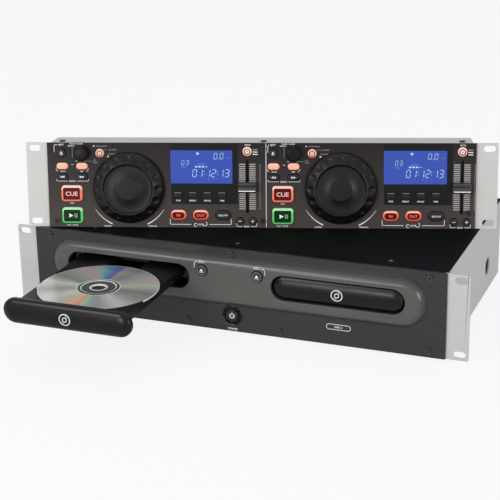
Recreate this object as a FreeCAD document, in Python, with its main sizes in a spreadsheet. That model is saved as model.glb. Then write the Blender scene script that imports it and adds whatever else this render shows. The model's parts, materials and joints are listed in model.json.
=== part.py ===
"""Twin disc player for a disc jockey: a two-tray drive unit and its separate control unit.

Both units follow the 19-inch rack standard.  The frame's origin is the centre of the drive
unit's rack slots, on the back face of its ears: X to the right, Y to the rear, Z up.
The control unit is built flat in its own frame (panel front at y = 0, panel bottom at z = 0)
and every one of its pieces then takes the seat that leans it back on the drive unit's cover.
"""
import FreeCAD, Part
import math
import os
import Sketcher

V = FreeCAD.Vector
doc = FreeCAD.newDocument("twin_disc_player")
sheet = doc.addObject("Spreadsheet::Sheet", "Sizes")


# ---------------------------------------------------------------- sizes

class Size:
    """A length that knows its value and the sheet formula it stands for."""

    def __init__(self, value, text):
        self.value = value
        self.text = text

    def __add__(self, other):
        other = size_of(other)
        return Size(self.value + other.value, f"({self.text} + {other.text})")

    def __sub__(self, other):
        other = size_of(other)
        return Size(self.value - other.value, f"({self.text} - {other.text})")

    def __mul__(self, other):
        other = size_of(other)
        return Size(self.value * other.value, f"({self.text} * {other.text})")

    def __truediv__(self, other):
        other = size_of(other)
        return Size(self.value / other.value, f"({self.text} / {other.text})")

    def __neg__(self):
        return Size(-self.value, f"(0 - {self.text})")

    def __radd__(self, other):
        return size_of(other) + self

    def __rsub__(self, other):
        return size_of(other) - self

    def __rmul__(self, other):
        return size_of(other) * self

    def tangent(self):
        return Size(math.tan(math.radians(self.value)), f"tan({self.text} * 1 deg)")

    def arctangent(self):
        return Size(math.degrees(math.atan(self.value)), f"(atan({self.text}) / 1 deg)")

    def sine(self):
        return Size(math.sin(math.radians(self.value)), f"sin({self.text} * 1 deg)")


def size_of(number):
    """Give a plain number the form of a Size."""
    if isinstance(number, Size):
        return number
    return Size(float(number), repr(float(number)))


class Table:
    """The driving dimensions, one attribute for each row of the sheet."""


SIZES = [
    # the rack standard
    ("panel_width", 482.6, "width over the ears"),
    ("panel_height", 88.1, "two rack units, less the gap"),
    ("slot_across", 465.1, "rack slots, centre to centre, sideways"),
    ("slot_up", 76.2, "rack slots, centre to centre, upwards"),
    ("slot_width", 6.6, "rack slot, height of its mouth"),
    ("slot_length", 12.0, "rack slot, end to end"),
    # drive unit: sheet metal
    ("ear_thick", 2.0, "side bracket and ear sheet"),
    ("ear_corner", 1.5, "rounding of an ear's outer corners"),
    ("case_width", 438.4, "over the side brackets"),
    ("case_depth", 236.0, "rail plane to the rear face"),
    ("sheet_thick", 1.2, "base pan sheet"),
    ("cover_thick", 1.2, "top cover sheet"),
    ("floor_lift", 3.0, "case underside above the panel's bottom edge"),
    ("flange_height", 14.0, "folded flanges of the base pan"),
    ("flange_depth", 22.0, "top flange of the front wall"),
    ("flange_inset", 14.0, "top flange of the front wall, short of the pan's sides"),
    ("foot_radius", 9.5, "rubber foot at its top"),
    ("foot_tip_radius", 8.5, "rubber foot where it stands"),
    ("foot_height", 6.0, "rubber foot"),
    ("foot_inset", 34.0, "foot centre from the case's edges"),
    ("lift_hole_radius", 9.5, "access hole in each side bracket"),
    ("lift_hole_from_rear", 58.0, "access hole centre from the rear face"),
    ("lift_hole_up", -13.0, "access hole centre height"),
    # drive unit: moulded fascia
    ("fascia_thick", 4.0, "fascia plate between the ears"),
    ("platform_half", 200.5, "raised racetrack, half its length"),
    ("platform_radius", 26.0, "raised racetrack, half its height"),
    ("platform_rise", 6.0, "raised racetrack above the plate"),
    ("platform_round", 5.8, "rounding round the racetrack's edge"),
    ("platform_up", 10.35, "racetrack centre height"),
    ("fascia_screw_across", 202.5, "outer fascia screws from the centre"),
    ("fascia_screw_up", 38.0, "upper outer fascia screws"),
    ("middle_screw_up", 39.6, "upper middle fascia screw"),
    ("fascia_screw_down", -37.65, "lower fascia screws"),
    ("inner_screw_across", 50.0, "lower inner fascia screws from the centre"),
    ("cover_screw_across", 159.0, "outer cover screws from the centre"),
    ("cover_screw_back", 14.4, "cover screws behind the rail plane"),
    ("screw_radius", 1.5, "screw shank"),
    ("screw_head_radius", 3.0, "screw head"),
    ("screw_head_high", 1.5, "screw head"),
    ("screw_length", 6.0, "screw shank length"),
    ("screw_gap", 0.1, "clearance round a screw shank"),
    # trays and doors
    ("deck_pitch", 223.5, "tray centre to tray centre"),
    ("door_up", 11.35, "tray door centre height"),
    ("door_half", 67.75, "tray door, half its length"),
    ("door_radius", 12.6, "tray door, half its height"),
    ("door_thick", 8.0, "tray door, front to back"),
    ("door_round", 2.6, "rounding of the door's front edge"),
    ("door_gap", 0.6, "clearance round the door"),
    ("tray_travel", 138.5, "how far a tray slides out"),
    ("tray_width", 115.0, "tray over its ribs"),
    ("tray_top", 17.95, "tray rim height"),
    ("tray_plate", 5.2, "tray plate under the rim"),
    ("tray_rib_drop", 4.3, "tray side rib below the plate"),
    ("tray_rib_thick", 4.0, "tray side rib"),
    ("tray_rear", 181.0, "rear end of a closed tray"),
    ("disc_back", 62.5, "disc centre behind the rail plane, tray closed"),
    ("seat_radius", 61.0, "recess for a 12 cm disc"),
    ("seat_depth", 2.7, "recess for a 12 cm disc"),
    ("small_seat_radius", 41.0, "recess for an 8 cm disc"),
    ("small_seat_depth", 1.0, "recess for an 8 cm disc, below the first"),
    ("window_half", 18.0, "window under the disc, half its width"),
    ("window_rear", 150.0, "rear end of the window, tray closed"),
    ("disc_radius", 60.0, "disc"),
    ("disc_hole", 7.5, "disc centre hole"),
    ("disc_thick", 1.2, "disc"),
    ("stack_ring_radius", 17.5, "raised stacking ring of the disc"),
    ("stack_ring_width", 1.2, "raised stacking ring of the disc"),
    ("stack_ring_high", 0.3, "raised stacking ring of the disc"),
    ("run_gap", 0.3, "clearance between sliding pieces"),
    ("bore_gap", 0.08, "running clearance round a shaft"),
    # loading gear
    ("gear_module", 1.0, "tooth size"),
    ("gear_teeth", 20, "teeth of the loading gear"),
    ("pressure_angle", 20.0, "slope of the tooth flanks, degrees"),
    ("tooth_root", 1.25, "tooth depth below the pitch line, in modules"),
    ("rack_spare", 3, "rack teeth beyond each end of the travel"),
    ("gear_thick", 3.2, "loading gear"),
    ("gear_across", -41.0, "gear axle from the deck centre"),
    ("gear_back", 16.0, "gear axle behind the rail plane"),
    ("gear_play", 0.15, "gap left between the pitch lines"),
    ("axle_radius", 2.0, "gear axle"),
    ("axle_shoulder", 4.0, "shoulder that the gear runs on"),
    ("rack_thick", 4.0, "rack bar under the tray"),
    # loader frame
    ("loader_half", 64.0, "loader frame, half its width"),
    ("loader_rear", 190.0, "rear end of the loader frame"),
    ("loader_floor", -12.0, "underside of the loader frame"),
    ("loader_sheet", 2.0, "loader frame wall"),
    ("loader_wall", 2.5, "loader frame side wall"),
    ("guide_top", 14.0, "top of the side guide, below the disc"),
    ("bridge_up", 22.5, "underside of the clamp bridge"),
    ("bridge_depth", 29.0, "clamp bridge, front to back"),
    ("bridge_thick", 1.5, "clamp bridge"),
    ("puck_radius", 12.0, "hole in the bridge for the clamp puck"),
    ("puck_flange", 16.0, "clamp puck flange"),
    ("puck_low", 20.4, "underside of the clamp puck"),
    ("motor_radius", 12.0, "spindle motor can"),
    ("motor_high", 8.0, "spindle motor can"),
    ("motor_floor", 1.2, "spindle motor floor"),
    ("spindle_radius", 14.0, "turntable"),
    ("spindle_top", 11.2, "turntable face"),
    ("spindle_thick", 2.0, "turntable"),
    ("hub_radius", 7.2, "centring boss"),
    ("hub_high", 1.0, "centring boss"),
    ("spindle_shaft", 1.5, "spindle shaft"),
    ("rod_across", 19.0, "pickup guide rods from the deck centre"),
    ("rod_radius", 1.5, "pickup guide rod"),
    ("rod_up", 0.0, "pickup guide rods, height of their axes"),
    ("rod_front", 68.0, "front end of the guide rods"),
    ("rod_rear", 161.0, "rear end of the guide rods"),
    ("rod_post", 3.0, "posts that hold the rods"),
    ("pickup_front", 78.0, "pickup at its innermost place"),
    ("pickup_depth", 30.0, "pickup, front to back"),
    ("pickup_half", 22.0, "pickup, half its width"),
    ("pickup_low", -5.0, "pickup underside"),
    ("pickup_top", 8.0, "pickup top face"),
    ("lens_radius", 5.0, "lens holder"),
    ("lens_inset", 7.5, "lens behind the pickup's front edge"),
    ("lens_top", 11.5, "lens holder"),
    ("post_radius", 4.0, "posts that carry the loader frames"),
    ("post_across", 58.0, "posts from the deck centre"),
    ("post_front", 14.0, "front posts behind the rail plane"),
    ("post_rear", 178.0, "rear posts behind the rail plane"),
    # drive unit buttons
    ("open_across", 29.5, "open buttons from the centre"),
    ("open_up", 20.85, "open buttons height"),
    ("open_radius", 5.9, "open button"),
    ("open_proud", 1.6, "open button in front of the racetrack"),
    ("power_up", -26.55, "power button height"),
    ("power_radius", 6.3, "power button"),
    ("power_proud", 1.6, "power button in front of the plate"),
    ("power_ring", 10.3, "recessed ring round the power button"),
    ("power_ring_depth", 0.8, "recessed ring round the power button"),
    ("key_gap", 0.3, "clearance round a key"),
    ("key_flange", 0.7, "flange that keeps a key in its hole"),
    ("key_flange_thick", 1.2, "flange that keeps a key in its hole"),
    ("button_flange", 1.4, "flange that keeps a round button in its hole"),
    ("key_round", 0.8, "rounding of a key's front edge"),
    ("stem_radius", 1.5, "key stem"),
    ("key_travel", 0.6, "how far a key goes in"),
    ("switch_half", 3.0, "tact switch, half its width"),
    ("switch_high", 3.0, "tact switch"),
    # drive unit electronics
    ("board_thick", 1.6, "circuit boards"),
    ("front_board_back", 10.5, "front board behind the rail plane"),
    ("front_board_half", 42.0, "front board, half its width"),
    ("front_board_top", 30.0, "front board"),
    ("main_board_half", 40.0, "main board, half its width"),
    ("main_board_front", 30.0, "main board"),
    ("main_board_rear", 118.0, "main board"),
    ("chip_pitch", 22.5, "chips on the main board"),
    ("chip_half", 6.0, "chip, half its width"),
    ("chip_depth", 15.0, "chip, front to back"),
    ("chip_back", 15.0, "chips behind the main board's front edge"),
    ("chip_high", 1.6, "chip"),
    ("capacitor_radius", 6.0, "capacitors on the main board"),
    ("capacitor_high", 15.0, "capacitors on the main board"),
    ("capacitor_inset", 15.0, "capacitors in front of the board's rear edge"),
    ("standoff_high", 6.0, "standoffs under the main board"),
    ("standoff_radius", 2.5, "standoffs"),
    ("core_half", 30.0, "transformer core, half its width"),
    ("core_front", 140.0, "transformer core"),
    ("core_depth", 34.0, "transformer core"),
    ("core_high", 50.0, "transformer core"),
    ("coil_bulge", 11.0, "transformer coil beyond the core"),
    ("inlet_across", -180.0, "mains inlet centre"),
    ("inlet_up", -20.0, "mains inlet centre"),
    ("inlet_half", 14.0, "mains inlet body, half its width"),
    ("inlet_half_high", 11.0, "mains inlet body, half its height"),
    ("inlet_wall", 1.5, "mains inlet wall round its mouth"),
    ("inlet_depth", 16.0, "mains inlet mouth"),
    ("inlet_body", 24.0, "mains inlet body behind the rear wall"),
    ("inlet_rim", 3.0, "mains inlet rim on the rear wall"),
    ("pin_across", 7.0, "outer inlet pins from the middle one"),
    ("pin_drop", 1.5, "outer inlet pins below the inlet's centre"),
    ("pin_rise", 3.0, "middle inlet pin above the inlet's centre"),
    ("pin_half", 0.75, "inlet pin, half its thickness"),
    ("pin_half_high", 1.5, "inlet pin, half its height"),
    ("pin_long", 8.0, "inlet pin in the mouth"),
    ("phono_first", 70.0, "first phono socket from the centre"),
    ("phono_pitch", 15.0, "phono sockets"),
    ("phono_radius", 4.15, "phono socket barrel"),
    ("phono_bore", 1.6, "phono socket pin hole"),
    ("phono_long", 8.0, "phono socket barrel"),
    ("phono_body", 12.0, "phono socket block behind the wall"),
    ("round_socket_pitch", 24.0, "control sockets of the drive unit"),
    ("round_socket_across", -72.0, "control sockets of the drive unit"),
    ("round_socket_half", 7.0, "control socket body, half its width"),
    ("round_socket_nose", 5.8, "control socket nose in its hole"),
    ("round_socket_ring", 4.6, "outer radius of the plug's ring groove"),
    ("round_socket_core", 3.6, "inner radius of the plug's ring groove"),
    ("round_socket_depth", 6.0, "depth of the plug's ring groove"),
    ("round_socket_body", 12.0, "control socket body"),
    # control unit: how it stands
    ("seat_across", 5.5, "control unit's centre line on the drive unit"),
    ("seat_back", 63.6, "control unit's panel edge behind the rail plane"),
    ("seat_turn", 17.0, "control unit turned about the vertical"),
    ("seat_gap", 0.2, "control unit above the cover"),
    ("heel_lift", 5.8, "rear bottom edge of the control case above its panel edge"),
    # control unit: panel, ears and case
    ("panel_thick", 2.0, "control panel"),
    ("wing_thick", 1.5, "control unit ears"),
    ("wing_flange", 28.0, "control unit ears, flange along the case"),
    ("wing_inset", 6.6, "control unit ears, flange short of the ear's ends"),
    ("shell_width", 433.0, "control case"),
    ("shell_depth", 44.0, "control case behind the panel"),
    ("shell_top_gap", 0.8, "control case below the panel's top edge"),
    ("shell_wall", 1.0, "control case sheet"),
    ("shell_screw_across", 205.7, "case top screws from the centre"),
    ("clip_half", 4.0, "screw blocks on the control board"),
    ("clip_depth", 5.0, "screw blocks on the control board"),
    ("clip_high", 12.0, "screw blocks on the control board"),
    ("side_screw_across", 212.3, "panel screws near the ears"),
    ("side_screw_up", 71.0, "upper panel screws near the ears"),
    ("side_screw_down", 16.7, "lower right panel screw"),
    ("corner_screw_across", -211.4, "lower left panel screw"),
    ("corner_screw_down", 6.5, "lower left panel screw"),
    ("low_head_high", 0.9, "low heads of the panel screws"),
    ("centre_screw_up", 82.0, "upper middle panel screw"),
    ("centre_screw_down", 7.3, "lower middle panel screw"),
    ("control_board_back", 11.0, "control board behind the panel front"),
    ("control_board_half", 213.5, "control board, half its width"),
    ("control_board_low", 4.5, "control board"),
    ("control_board_high", 82.0, "control board"),
    ("link_socket_across", 40.0, "link sockets of the control unit from the centre"),
    ("link_socket_up", 24.0, "link sockets of the control unit"),
    # control unit: two decks alike
    ("half_pitch", 109.0, "half the distance between the two control decks"),
    ("deck_shift", 3.3, "both control decks to the right of the panel's middle"),
    ("wheel_across", -29.3, "jog wheel"),
    ("wheel_up", 41.6, "jog wheel"),
    ("wheel_radius", 36.8, "jog wheel"),
    ("wheel_edge", 3.0, "jog wheel edge height"),
    ("wheel_rim_radius", 25.5, "raised rim of the jog wheel"),
    ("wheel_rim_high", 11.0, "raised rim of the jog wheel"),
    ("wheel_rim_thick", 1.6, "raised rim of the jog wheel"),
    ("wheel_shoulder", 33.0, "radius of the jog wheel's shoulder"),
    ("wheel_shoulder_high", 7.0, "jog wheel's shoulder height"),
    ("wheel_dish_high", 8.8, "floor of the dish inside the rim"),
    ("wheel_hub_radius", 11.3, "flat centre of the dish"),
    ("wheel_gap", 0.8, "jog wheel in front of the panel"),
    ("dimple_radius", 3.4, "finger dimple"),
    ("dimple_ring", 30.9, "finger dimples from the wheel's centre"),
    ("dimple_depth", 3.6, "finger dimple below the rim"),
    ("dimple_count", 16, "finger dimples"),
    ("shaft_radius", 3.0, "wheel and knob shafts"),
    ("encoder_half", 7.0, "encoder body, half its width"),
    ("encoder_floor", 0.4, "encoder floor behind its shaft"),
    ("knob_across", -77.5, "track knob"),
    ("knob_up", 77.2, "track knob"),
    ("knob_radius", 7.4, "track knob"),
    ("knob_high", 9.0, "track knob"),
    ("knob_round", 1.6, "track knob edge"),
    ("mode_across", -58.9, "display mode key"),
    ("mode_up", 77.3, "display mode key"),
    ("mode_radius", 4.2, "display mode key"),
    ("eject_across", -98.6, "eject key"),
    ("eject_up", 77.5, "eject key"),
    ("eject_radius", 4.5, "eject key"),
    ("bend_on_across", 92.9, "pitch key"),
    ("bend_on_up", 79.3, "pitch key"),
    ("bend_on_radius", 4.5, "pitch key"),
    ("skip_first", -98.2, "left column of skip and search keys"),
    ("skip_pitch", 20.4, "skip and search keys"),
    ("skip_up", 63.8, "skip keys"),
    ("search_up", 52.8, "search keys"),
    ("skip_half", 5.75, "skip and search keys, half their length"),
    ("skip_radius", 3.1, "skip and search keys, half their height"),
    ("cue_across", -88.9, "cue and play keys"),
    ("cue_up", 35.5, "cue key"),
    ("play_up", 12.5, "play key"),
    ("cue_half", 10.6, "cue and play keys, half their width"),
    ("cue_half_high", 8.0, "cue and play keys, half their height"),
    ("cue_corner", 3.2, "cue and play keys, corner"),
    ("loop_first", 21.4, "loop-in key"),
    ("loop_pitch", 23.1, "loop keys"),
    ("loop_up", 13.2, "loop keys"),
    ("loop_half", 7.95, "loop keys, half their length"),
    ("loop_radius", 4.9, "loop keys, half their height"),
    ("small_first", 21.3, "first of the four keys under the display"),
    ("small_pitch", 15.13, "four keys under the display"),
    ("small_up", 34.6, "four keys under the display"),
    ("small_half", 4.3, "four keys under the display, half their width"),
    ("small_half_high", 3.3, "four keys under the display, half their height"),
    ("small_corner", 1.2, "four keys under the display, corner"),
    ("nudge_first", 85.3, "left nudge key"),
    ("nudge_pitch", 12.9, "nudge keys"),
    ("nudge_up", 7.2, "nudge keys"),
    ("nudge_radius", 3.8, "nudge key"),
    ("screen_across", 45.7, "display window"),
    ("screen_up", 63.2, "display window"),
    ("screen_half", 32.2, "display window, half its width"),
    ("screen_half_high", 17.5, "display window, half its height"),
    ("screen_frame", 2.0, "display module beyond its window"),
    ("screen_sink", 0.4, "display glass below the panel front"),
    ("fader_across", 92.9, "pitch fader"),
    ("fader_up", 43.0, "pitch fader, middle of its slot"),
    ("slot_half", 27.8, "fader slot, half its length"),
    ("slot_half_wide", 1.45, "fader slot, half its width"),
    ("fader_travel", 46.0, "pitch fader, end to end"),
    ("cap_half", 9.15, "fader cap, half its width"),
    ("cap_half_high", 5.2, "fader cap, half its height"),
    ("cap_high", 8.0, "fader cap in front of the panel"),
    ("cap_gap", 1.3, "fader cap above the panel, clear of the screw heads"),
    ("cap_waist", 1.6, "finger hollow of the fader cap"),
    ("lever_half", 0.9, "fader lever, half its thickness"),
    ("lever_half_high", 3.0, "fader lever, half its height"),
    ("track_half", 5.0, "fader body, half its width"),
    ("track_end", 2.5, "fader body beyond its slot"),
    ("track_floor", 2.5, "fader body floor under its slot"),
    ("pillar_radius", 2.5, "pillars behind the panel"),
    ("outer_pillar_across", -59.2, "outer pillar"),
    ("outer_pillar_up", 12.5, "outer pillar"),
    ("inner_pillar_across", 4.0, "inner pillars"),
    ("inner_pillar_low", 13.2, "lower inner pillar"),
    ("inner_pillar_high", 77.2, "upper inner pillar"),
    ("key_proud", 1.8, "keys in front of the panel"),
    ("cue_proud", 3.2, "cue and play keys in front of the panel"),
]

s = Table()
for row, (alias, value, meaning) in enumerate(SIZES, start=1):
    sheet.set(f"A{row}", alias)
    sheet.set(f"B{row}", repr(value))
    sheet.set(f"C{row}", meaning)
    sheet.setAlias(f"B{row}", alias)
    setattr(s, alias, Size(value, f"Sizes.{alias}"))

doc.recompute()

LEFT = -1
RIGHT = 1
DECKS = (("left", LEFT), ("right", RIGHT))
FLANK_STEPS = 5

panel_half = s.panel_width / 2
case_half = s.case_width / 2
half_height = s.panel_height / 2
case_low = s.floor_lift - half_height
pan_floor = case_low + s.sheet_thick
cover_low = half_height - s.cover_thick
pan_half = case_half - s.ear_thick
deck_half = s.deck_pitch / 2
fascia_front = -s.fascia_thick
platform_front = fascia_front - s.platform_rise
tray_low = s.tray_top - s.tray_plate
rib_low = tray_low - s.tray_rib_drop
seat_floor = s.tray_top - s.seat_depth
tray_half = s.tray_width / 2
loader_front = s.sheet_thick
loader_deck = s.loader_floor + s.loader_sheet
pitch_radius = s.gear_module * s.gear_teeth / 2
rack_line = s.gear_across + pitch_radius + s.gear_play
shell_half = s.shell_width / 2
shell_rear = s.panel_thick + s.shell_depth
shell_top = s.panel_height - s.shell_top_gap
wing_rear = s.panel_thick + s.wing_thick
lean = (s.heel_lift / (shell_rear - wing_rear)).arctangent()
seat_up = half_height + s.seat_gap + wing_rear * lean.sine()
board_rear = s.control_board_back + s.board_thick
switch_face = s.control_board_back - s.switch_high
stem_end = switch_face - s.key_travel - s.key_gap
encoder_bottom = s.control_board_back - s.encoder_floor


# ---------------------------------------------------------------- helpers

nodes = []


def bind(thing, **values):
    """Tie properties to sheet formulas; a double underscore stands for a dot."""
    for name, value in values.items():
        thing.setExpression(name.replace("__", "."), size_of(value).text)
    return thing


def node(label, thing):
    """Name a finished sub-part."""
    thing.Label = label
    nodes.append(thing)
    return thing


def place(thing, across=0, back=0, up=0):
    """Move a piece to its place in the drive unit."""
    return bind(thing, Placement__Base__x=across, Placement__Base__y=back, Placement__Base__z=up)


def seat(thing, across=0, back=0, up=0):
    """Take a piece of the control unit to its leaning place on the drive unit."""
    turn = f"rotation(vector(0;0;1);{s.seat_turn.text})"
    tip = f"rotation(vector(1;0;0);{(-lean).text})"
    stand = f"vector({s.seat_across.text};{s.seat_back.text};{seat_up.text})"
    texts = [size_of(value).text for value in (across, back, up)]
    local = f"placement(vector({';'.join(texts)});rotation(vector(0;0;1);0))"
    thing.setExpression("Placement", f"placement({stand};{turn}*{tip})*{local}")
    return thing


def block(across, back, up):
    """A box between pairs of limits along X, Y and Z."""
    thing = doc.addObject("Part::Box", "block")
    bind(thing, Length=size_of(across[1]) - across[0], Width=size_of(back[1]) - back[0])
    bind(thing, Height=size_of(up[1]) - up[0])
    return place(thing, across[0], back[0], up[0])


def post(across, back, up, radius):
    """An upright cylinder; up is a pair of limits."""
    thing = doc.addObject("Part::Cylinder", "post")
    bind(thing, Radius=radius, Height=size_of(up[1]) - up[0])
    return place(thing, across, back, up[0])


def rod(across, back, up, radius):
    """A cylinder along Y; back is a pair of limits."""
    thing = doc.addObject("Part::Cylinder", "rod")
    thing.Placement.Rotation = FreeCAD.Rotation(V(1, 0, 0), -90)
    bind(thing, Radius=radius, Height=size_of(back[1]) - back[0])
    return place(thing, across, back[0], up)


def side_rod(across, back, up, radius):
    """A cylinder along X; across is a pair of limits."""
    thing = doc.addObject("Part::Cylinder", "side_rod")
    thing.Placement.Rotation = FreeCAD.Rotation(V(0, 1, 0), 90)
    bind(thing, Radius=radius, Height=size_of(across[1]) - across[0])
    return place(thing, across[0], back, up)


def fuse(*things):
    """One solid of several."""
    thing = doc.addObject("Part::MultiFuse", "fusion")
    thing.Shapes = list(things)
    thing.Refine = True
    return thing


def cut(base, *tools):
    """A solid less its cut-outs."""
    thing = doc.addObject("Part::Cut", "cut")
    thing.Base = base
    thing.Tool = tools[0] if len(tools) == 1 else fuse(*tools)
    return thing


def group(*things):
    """Separate solids in one sub-part."""
    thing = doc.addObject("Part::Compound", "group")
    thing.Links = list(things)
    return thing


def new_body(label):
    """A PartDesign body that is a sub-part of its own."""
    return node(label, doc.addObject("PartDesign::Body", "body"))


def sketch_on(body, role, offset):
    """A sketch parallel to an origin plane of its body."""
    sketch = body.newObject("Sketcher::SketchObject", "sketch")
    plane = next(item for item in body.Origin.OriginFeatures if item.Role == role)
    sketch.AttachmentSupport = [(plane, "")]
    sketch.MapMode = "FlatFace"
    sketch.setExpression("AttachmentOffset.Base.z", size_of(offset).text)
    return sketch


def front_sketch(body, back):
    """A sketch in X and Z at a given Y; what is padded from it grows towards -Y."""
    return sketch_on(body, "XZ_Plane", -size_of(back))


def meets(first, second):
    """Whether two places are one, as near as the modelling kernel works."""
    return abs(first - second) < FreeCAD.Base.Precision.approximation()


def point_ties(geometry, end, across, up):
    """Constraints that hold a point of a sketch at two formulas."""
    return [(Sketcher.Constraint(kind, -1, 1, geometry, end, size_of(value).value),
             size_of(value).text)
            for kind, value in (("DistanceX", across), ("DistanceY", up))]


def add_ties(sketch, ties):
    """Add constraints together, each with its formula or None."""
    numbers = sketch.addConstraint([constraint for constraint, text in ties])
    for number, (constraint, text) in zip(numbers, ties):
        if text is not None:
            sketch.setExpression(f"Constraints[{number}]", text)


def draw_path(sketch, stops):
    """A closed outline; each stop is (x, y, centre of the arc to the next stop, or None)."""
    stops = [(size_of(x), size_of(y), centre) for x, y, centre in stops]
    edges = []
    for number, (x, y, centre) in enumerate(stops):
        next_x, next_y = stops[(number + 1) % len(stops)][:2]
        start, end = V(x.value, y.value, 0), V(next_x.value, next_y.value, 0)
        if centre is None:
            edges.append(Part.LineSegment(start, end))
            continue
        middle = V(size_of(centre[0]).value, size_of(centre[1]).value, 0)
        from_angle = math.atan2(start.y - middle.y, start.x - middle.x)
        to_angle = math.atan2(end.y - middle.y, end.x - middle.x)
        circle = Part.Circle(middle, V(0, 0, 1), (start - middle).Length)
        edges.append(Part.ArcOfCircle(circle, from_angle, to_angle))
    added = sketch.addGeometry(edges)
    ties = []
    for number, (x, y, centre) in enumerate(stops):
        following = (number + 1) % len(stops)
        ties.append((Sketcher.Constraint("Coincident", added[number], 2, added[following], 1),
                     None))
        ties += point_ties(added[number], 1, x, y)
        if centre is None:
            continue
        level = meets(stops[following][1].value, y.value)
        kind, value = ("DistanceY", centre[1]) if level else ("DistanceX", centre[0])
        value = size_of(value)
        ties.append((Sketcher.Constraint(kind, -1, 1, added[number], 3, value.value),
                     value.text))
    add_ties(sketch, ties)


def draw_loop(sketch, points):
    """A closed outline of straight lines."""
    draw_path(sketch, [(x, y, None) for x, y in points])


def draw_rectangle(sketch, across, up):
    """A rectangle between pairs of limits."""
    corners = ((across[0], up[0]), (across[1], up[0]), (across[1], up[1]), (across[0], up[1]))
    draw_loop(sketch, corners)


def draw_circle(sketch, across, up, radius):
    """A full circle."""
    across, up, radius = size_of(across), size_of(up), size_of(radius)
    circle = Part.Circle(V(across.value, up.value, 0), V(0, 0, 1), radius.value)
    geometry = sketch.addGeometry(circle)
    ties = point_ties(geometry, 3, across, up)
    ties.append((Sketcher.Constraint("Radius", geometry, radius.value), radius.text))
    add_ties(sketch, ties)


def draw_round_rectangle(sketch, across, up, half_wide, half_high, corner):
    """A rectangle with quarter-circle corners."""
    left, right = across - half_wide, across + half_wide
    low, high = up - half_high, up + half_high
    in_left, in_right = left + corner, right - corner
    in_low, in_high = low + corner, high - corner
    draw_path(sketch, (
        (in_left, low, None), (in_right, low, (in_right, in_low)),
        (right, in_low, None), (right, in_high, (in_right, in_high)),
        (in_right, high, None), (in_left, high, (in_left, in_high)),
        (left, in_high, None), (left, in_low, (in_left, in_low))))


def draw_capsule(sketch, across, up, half_long, radius):
    """A stadium lying along X; half_long reaches to the end of its round."""
    across, up = size_of(across), size_of(up)
    left, right = across - half_long + radius, across + half_long - radius
    draw_path(sketch, (
        (left, up - radius, None), (right, up - radius, (right, up)),
        (right, up + radius, None), (left, up + radius, (left, up))))


def draw_standing_capsule(sketch, across, up, half_long, radius):
    """A stadium standing along Z."""
    low, high = up - half_long + radius, up + half_long - radius
    draw_path(sketch, (
        (across + radius, low, None), (across + radius, high, (across, high)),
        (across - radius, high, None), (across - radius, low, (across, low))))


def pad(body, sketch, length):
    """Grow a sketch along its normal."""
    feature = body.newObject("PartDesign::Pad", "pad")
    feature.Profile = sketch
    return bind(feature, Length=length)


def pocket(body, sketch, depth=None):
    """Cut a sketch against its normal, to a depth or right through."""
    feature = body.newObject("PartDesign::Pocket", "pocket")
    feature.Profile = sketch
    if depth is None:
        feature.Type = "ThroughAll"
        feature.Midplane = True
        return feature
    return bind(feature, Length=depth)


def round_front(body, feature, back, radius):
    """Fillet the edges of a feature that lie in the plane at a given Y."""
    for item in body.Group:
        item.recompute()
    level = size_of(back).value
    edges = []
    for number, edge in enumerate(feature.Shape.Edges, 1):
        limits = edge.BoundBox
        if meets(limits.YMin, level) and meets(limits.YMax, level):
            edges.append(f"Edge{number}")
    fillet = body.newObject("PartDesign::Fillet", "rounding")
    fillet.Base = (feature, edges)
    return bind(fillet, Radius=radius)


def revolve(body, points):
    """Turn an outline in Y (along the axis) and Z (outwards) about the body's Y axis."""
    sketch = sketch_on(body, "YZ_Plane", 0)
    draw_loop(sketch, points)
    feature = body.newObject("PartDesign::Revolution", "turning")
    feature.Profile = sketch
    feature.ReferenceAxis = (sketch, ["H_Axis"])
    feature.Angle = 360
    return feature


def revolve_upright(body, points):
    """Turn an outline in X (outwards) and Z (along the axis) about the body's Z axis."""
    sketch = sketch_on(body, "XZ_Plane", 0)
    draw_loop(sketch, points)
    feature = body.newObject("PartDesign::Revolution", "turning")
    feature.Profile = sketch
    feature.ReferenceAxis = (sketch, ["V_Axis"])
    feature.Angle = 360
    return feature


def screw(across, back, up, towards, head=s.screw_head_high):
    """A pan-head screw; towards names the way that its head faces."""
    reach = s.screw_length
    if towards == "up":
        shank = post(across, back, (up - reach, up), s.screw_radius)
        top = post(across, back, (up, up + head), s.screw_head_radius)
    elif towards == "front":
        shank = rod(across, (back, back + reach), up, s.screw_radius)
        top = rod(across, (back - head, back), up, s.screw_head_radius)
    else:
        shank = rod(across, (back - reach, back), up, s.screw_radius)
        top = rod(across, (back, back + head), up, s.screw_head_radius)
    return fuse(shank, top)


def sink(across, back, top):
    """The countersunk head of a flush screw, and the dimple that it lies in."""
    thing = doc.addObject("Part::Cone", "sink")
    bind(thing, Radius1=s.screw_radius, Radius2=s.screw_head_radius, Height=s.cover_thick)
    return place(thing, across, back, top - s.cover_thick)


def flush_screw(across, back, top):
    """A countersunk screw whose head ends level with the sheet that it holds."""
    low = top - s.cover_thick
    shank = post(across, back, (low - s.screw_length, low), s.screw_radius)
    return fuse(shank, sink(across, back, top))


# ---------------------------------------------------------------- drive unit: case

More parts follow.
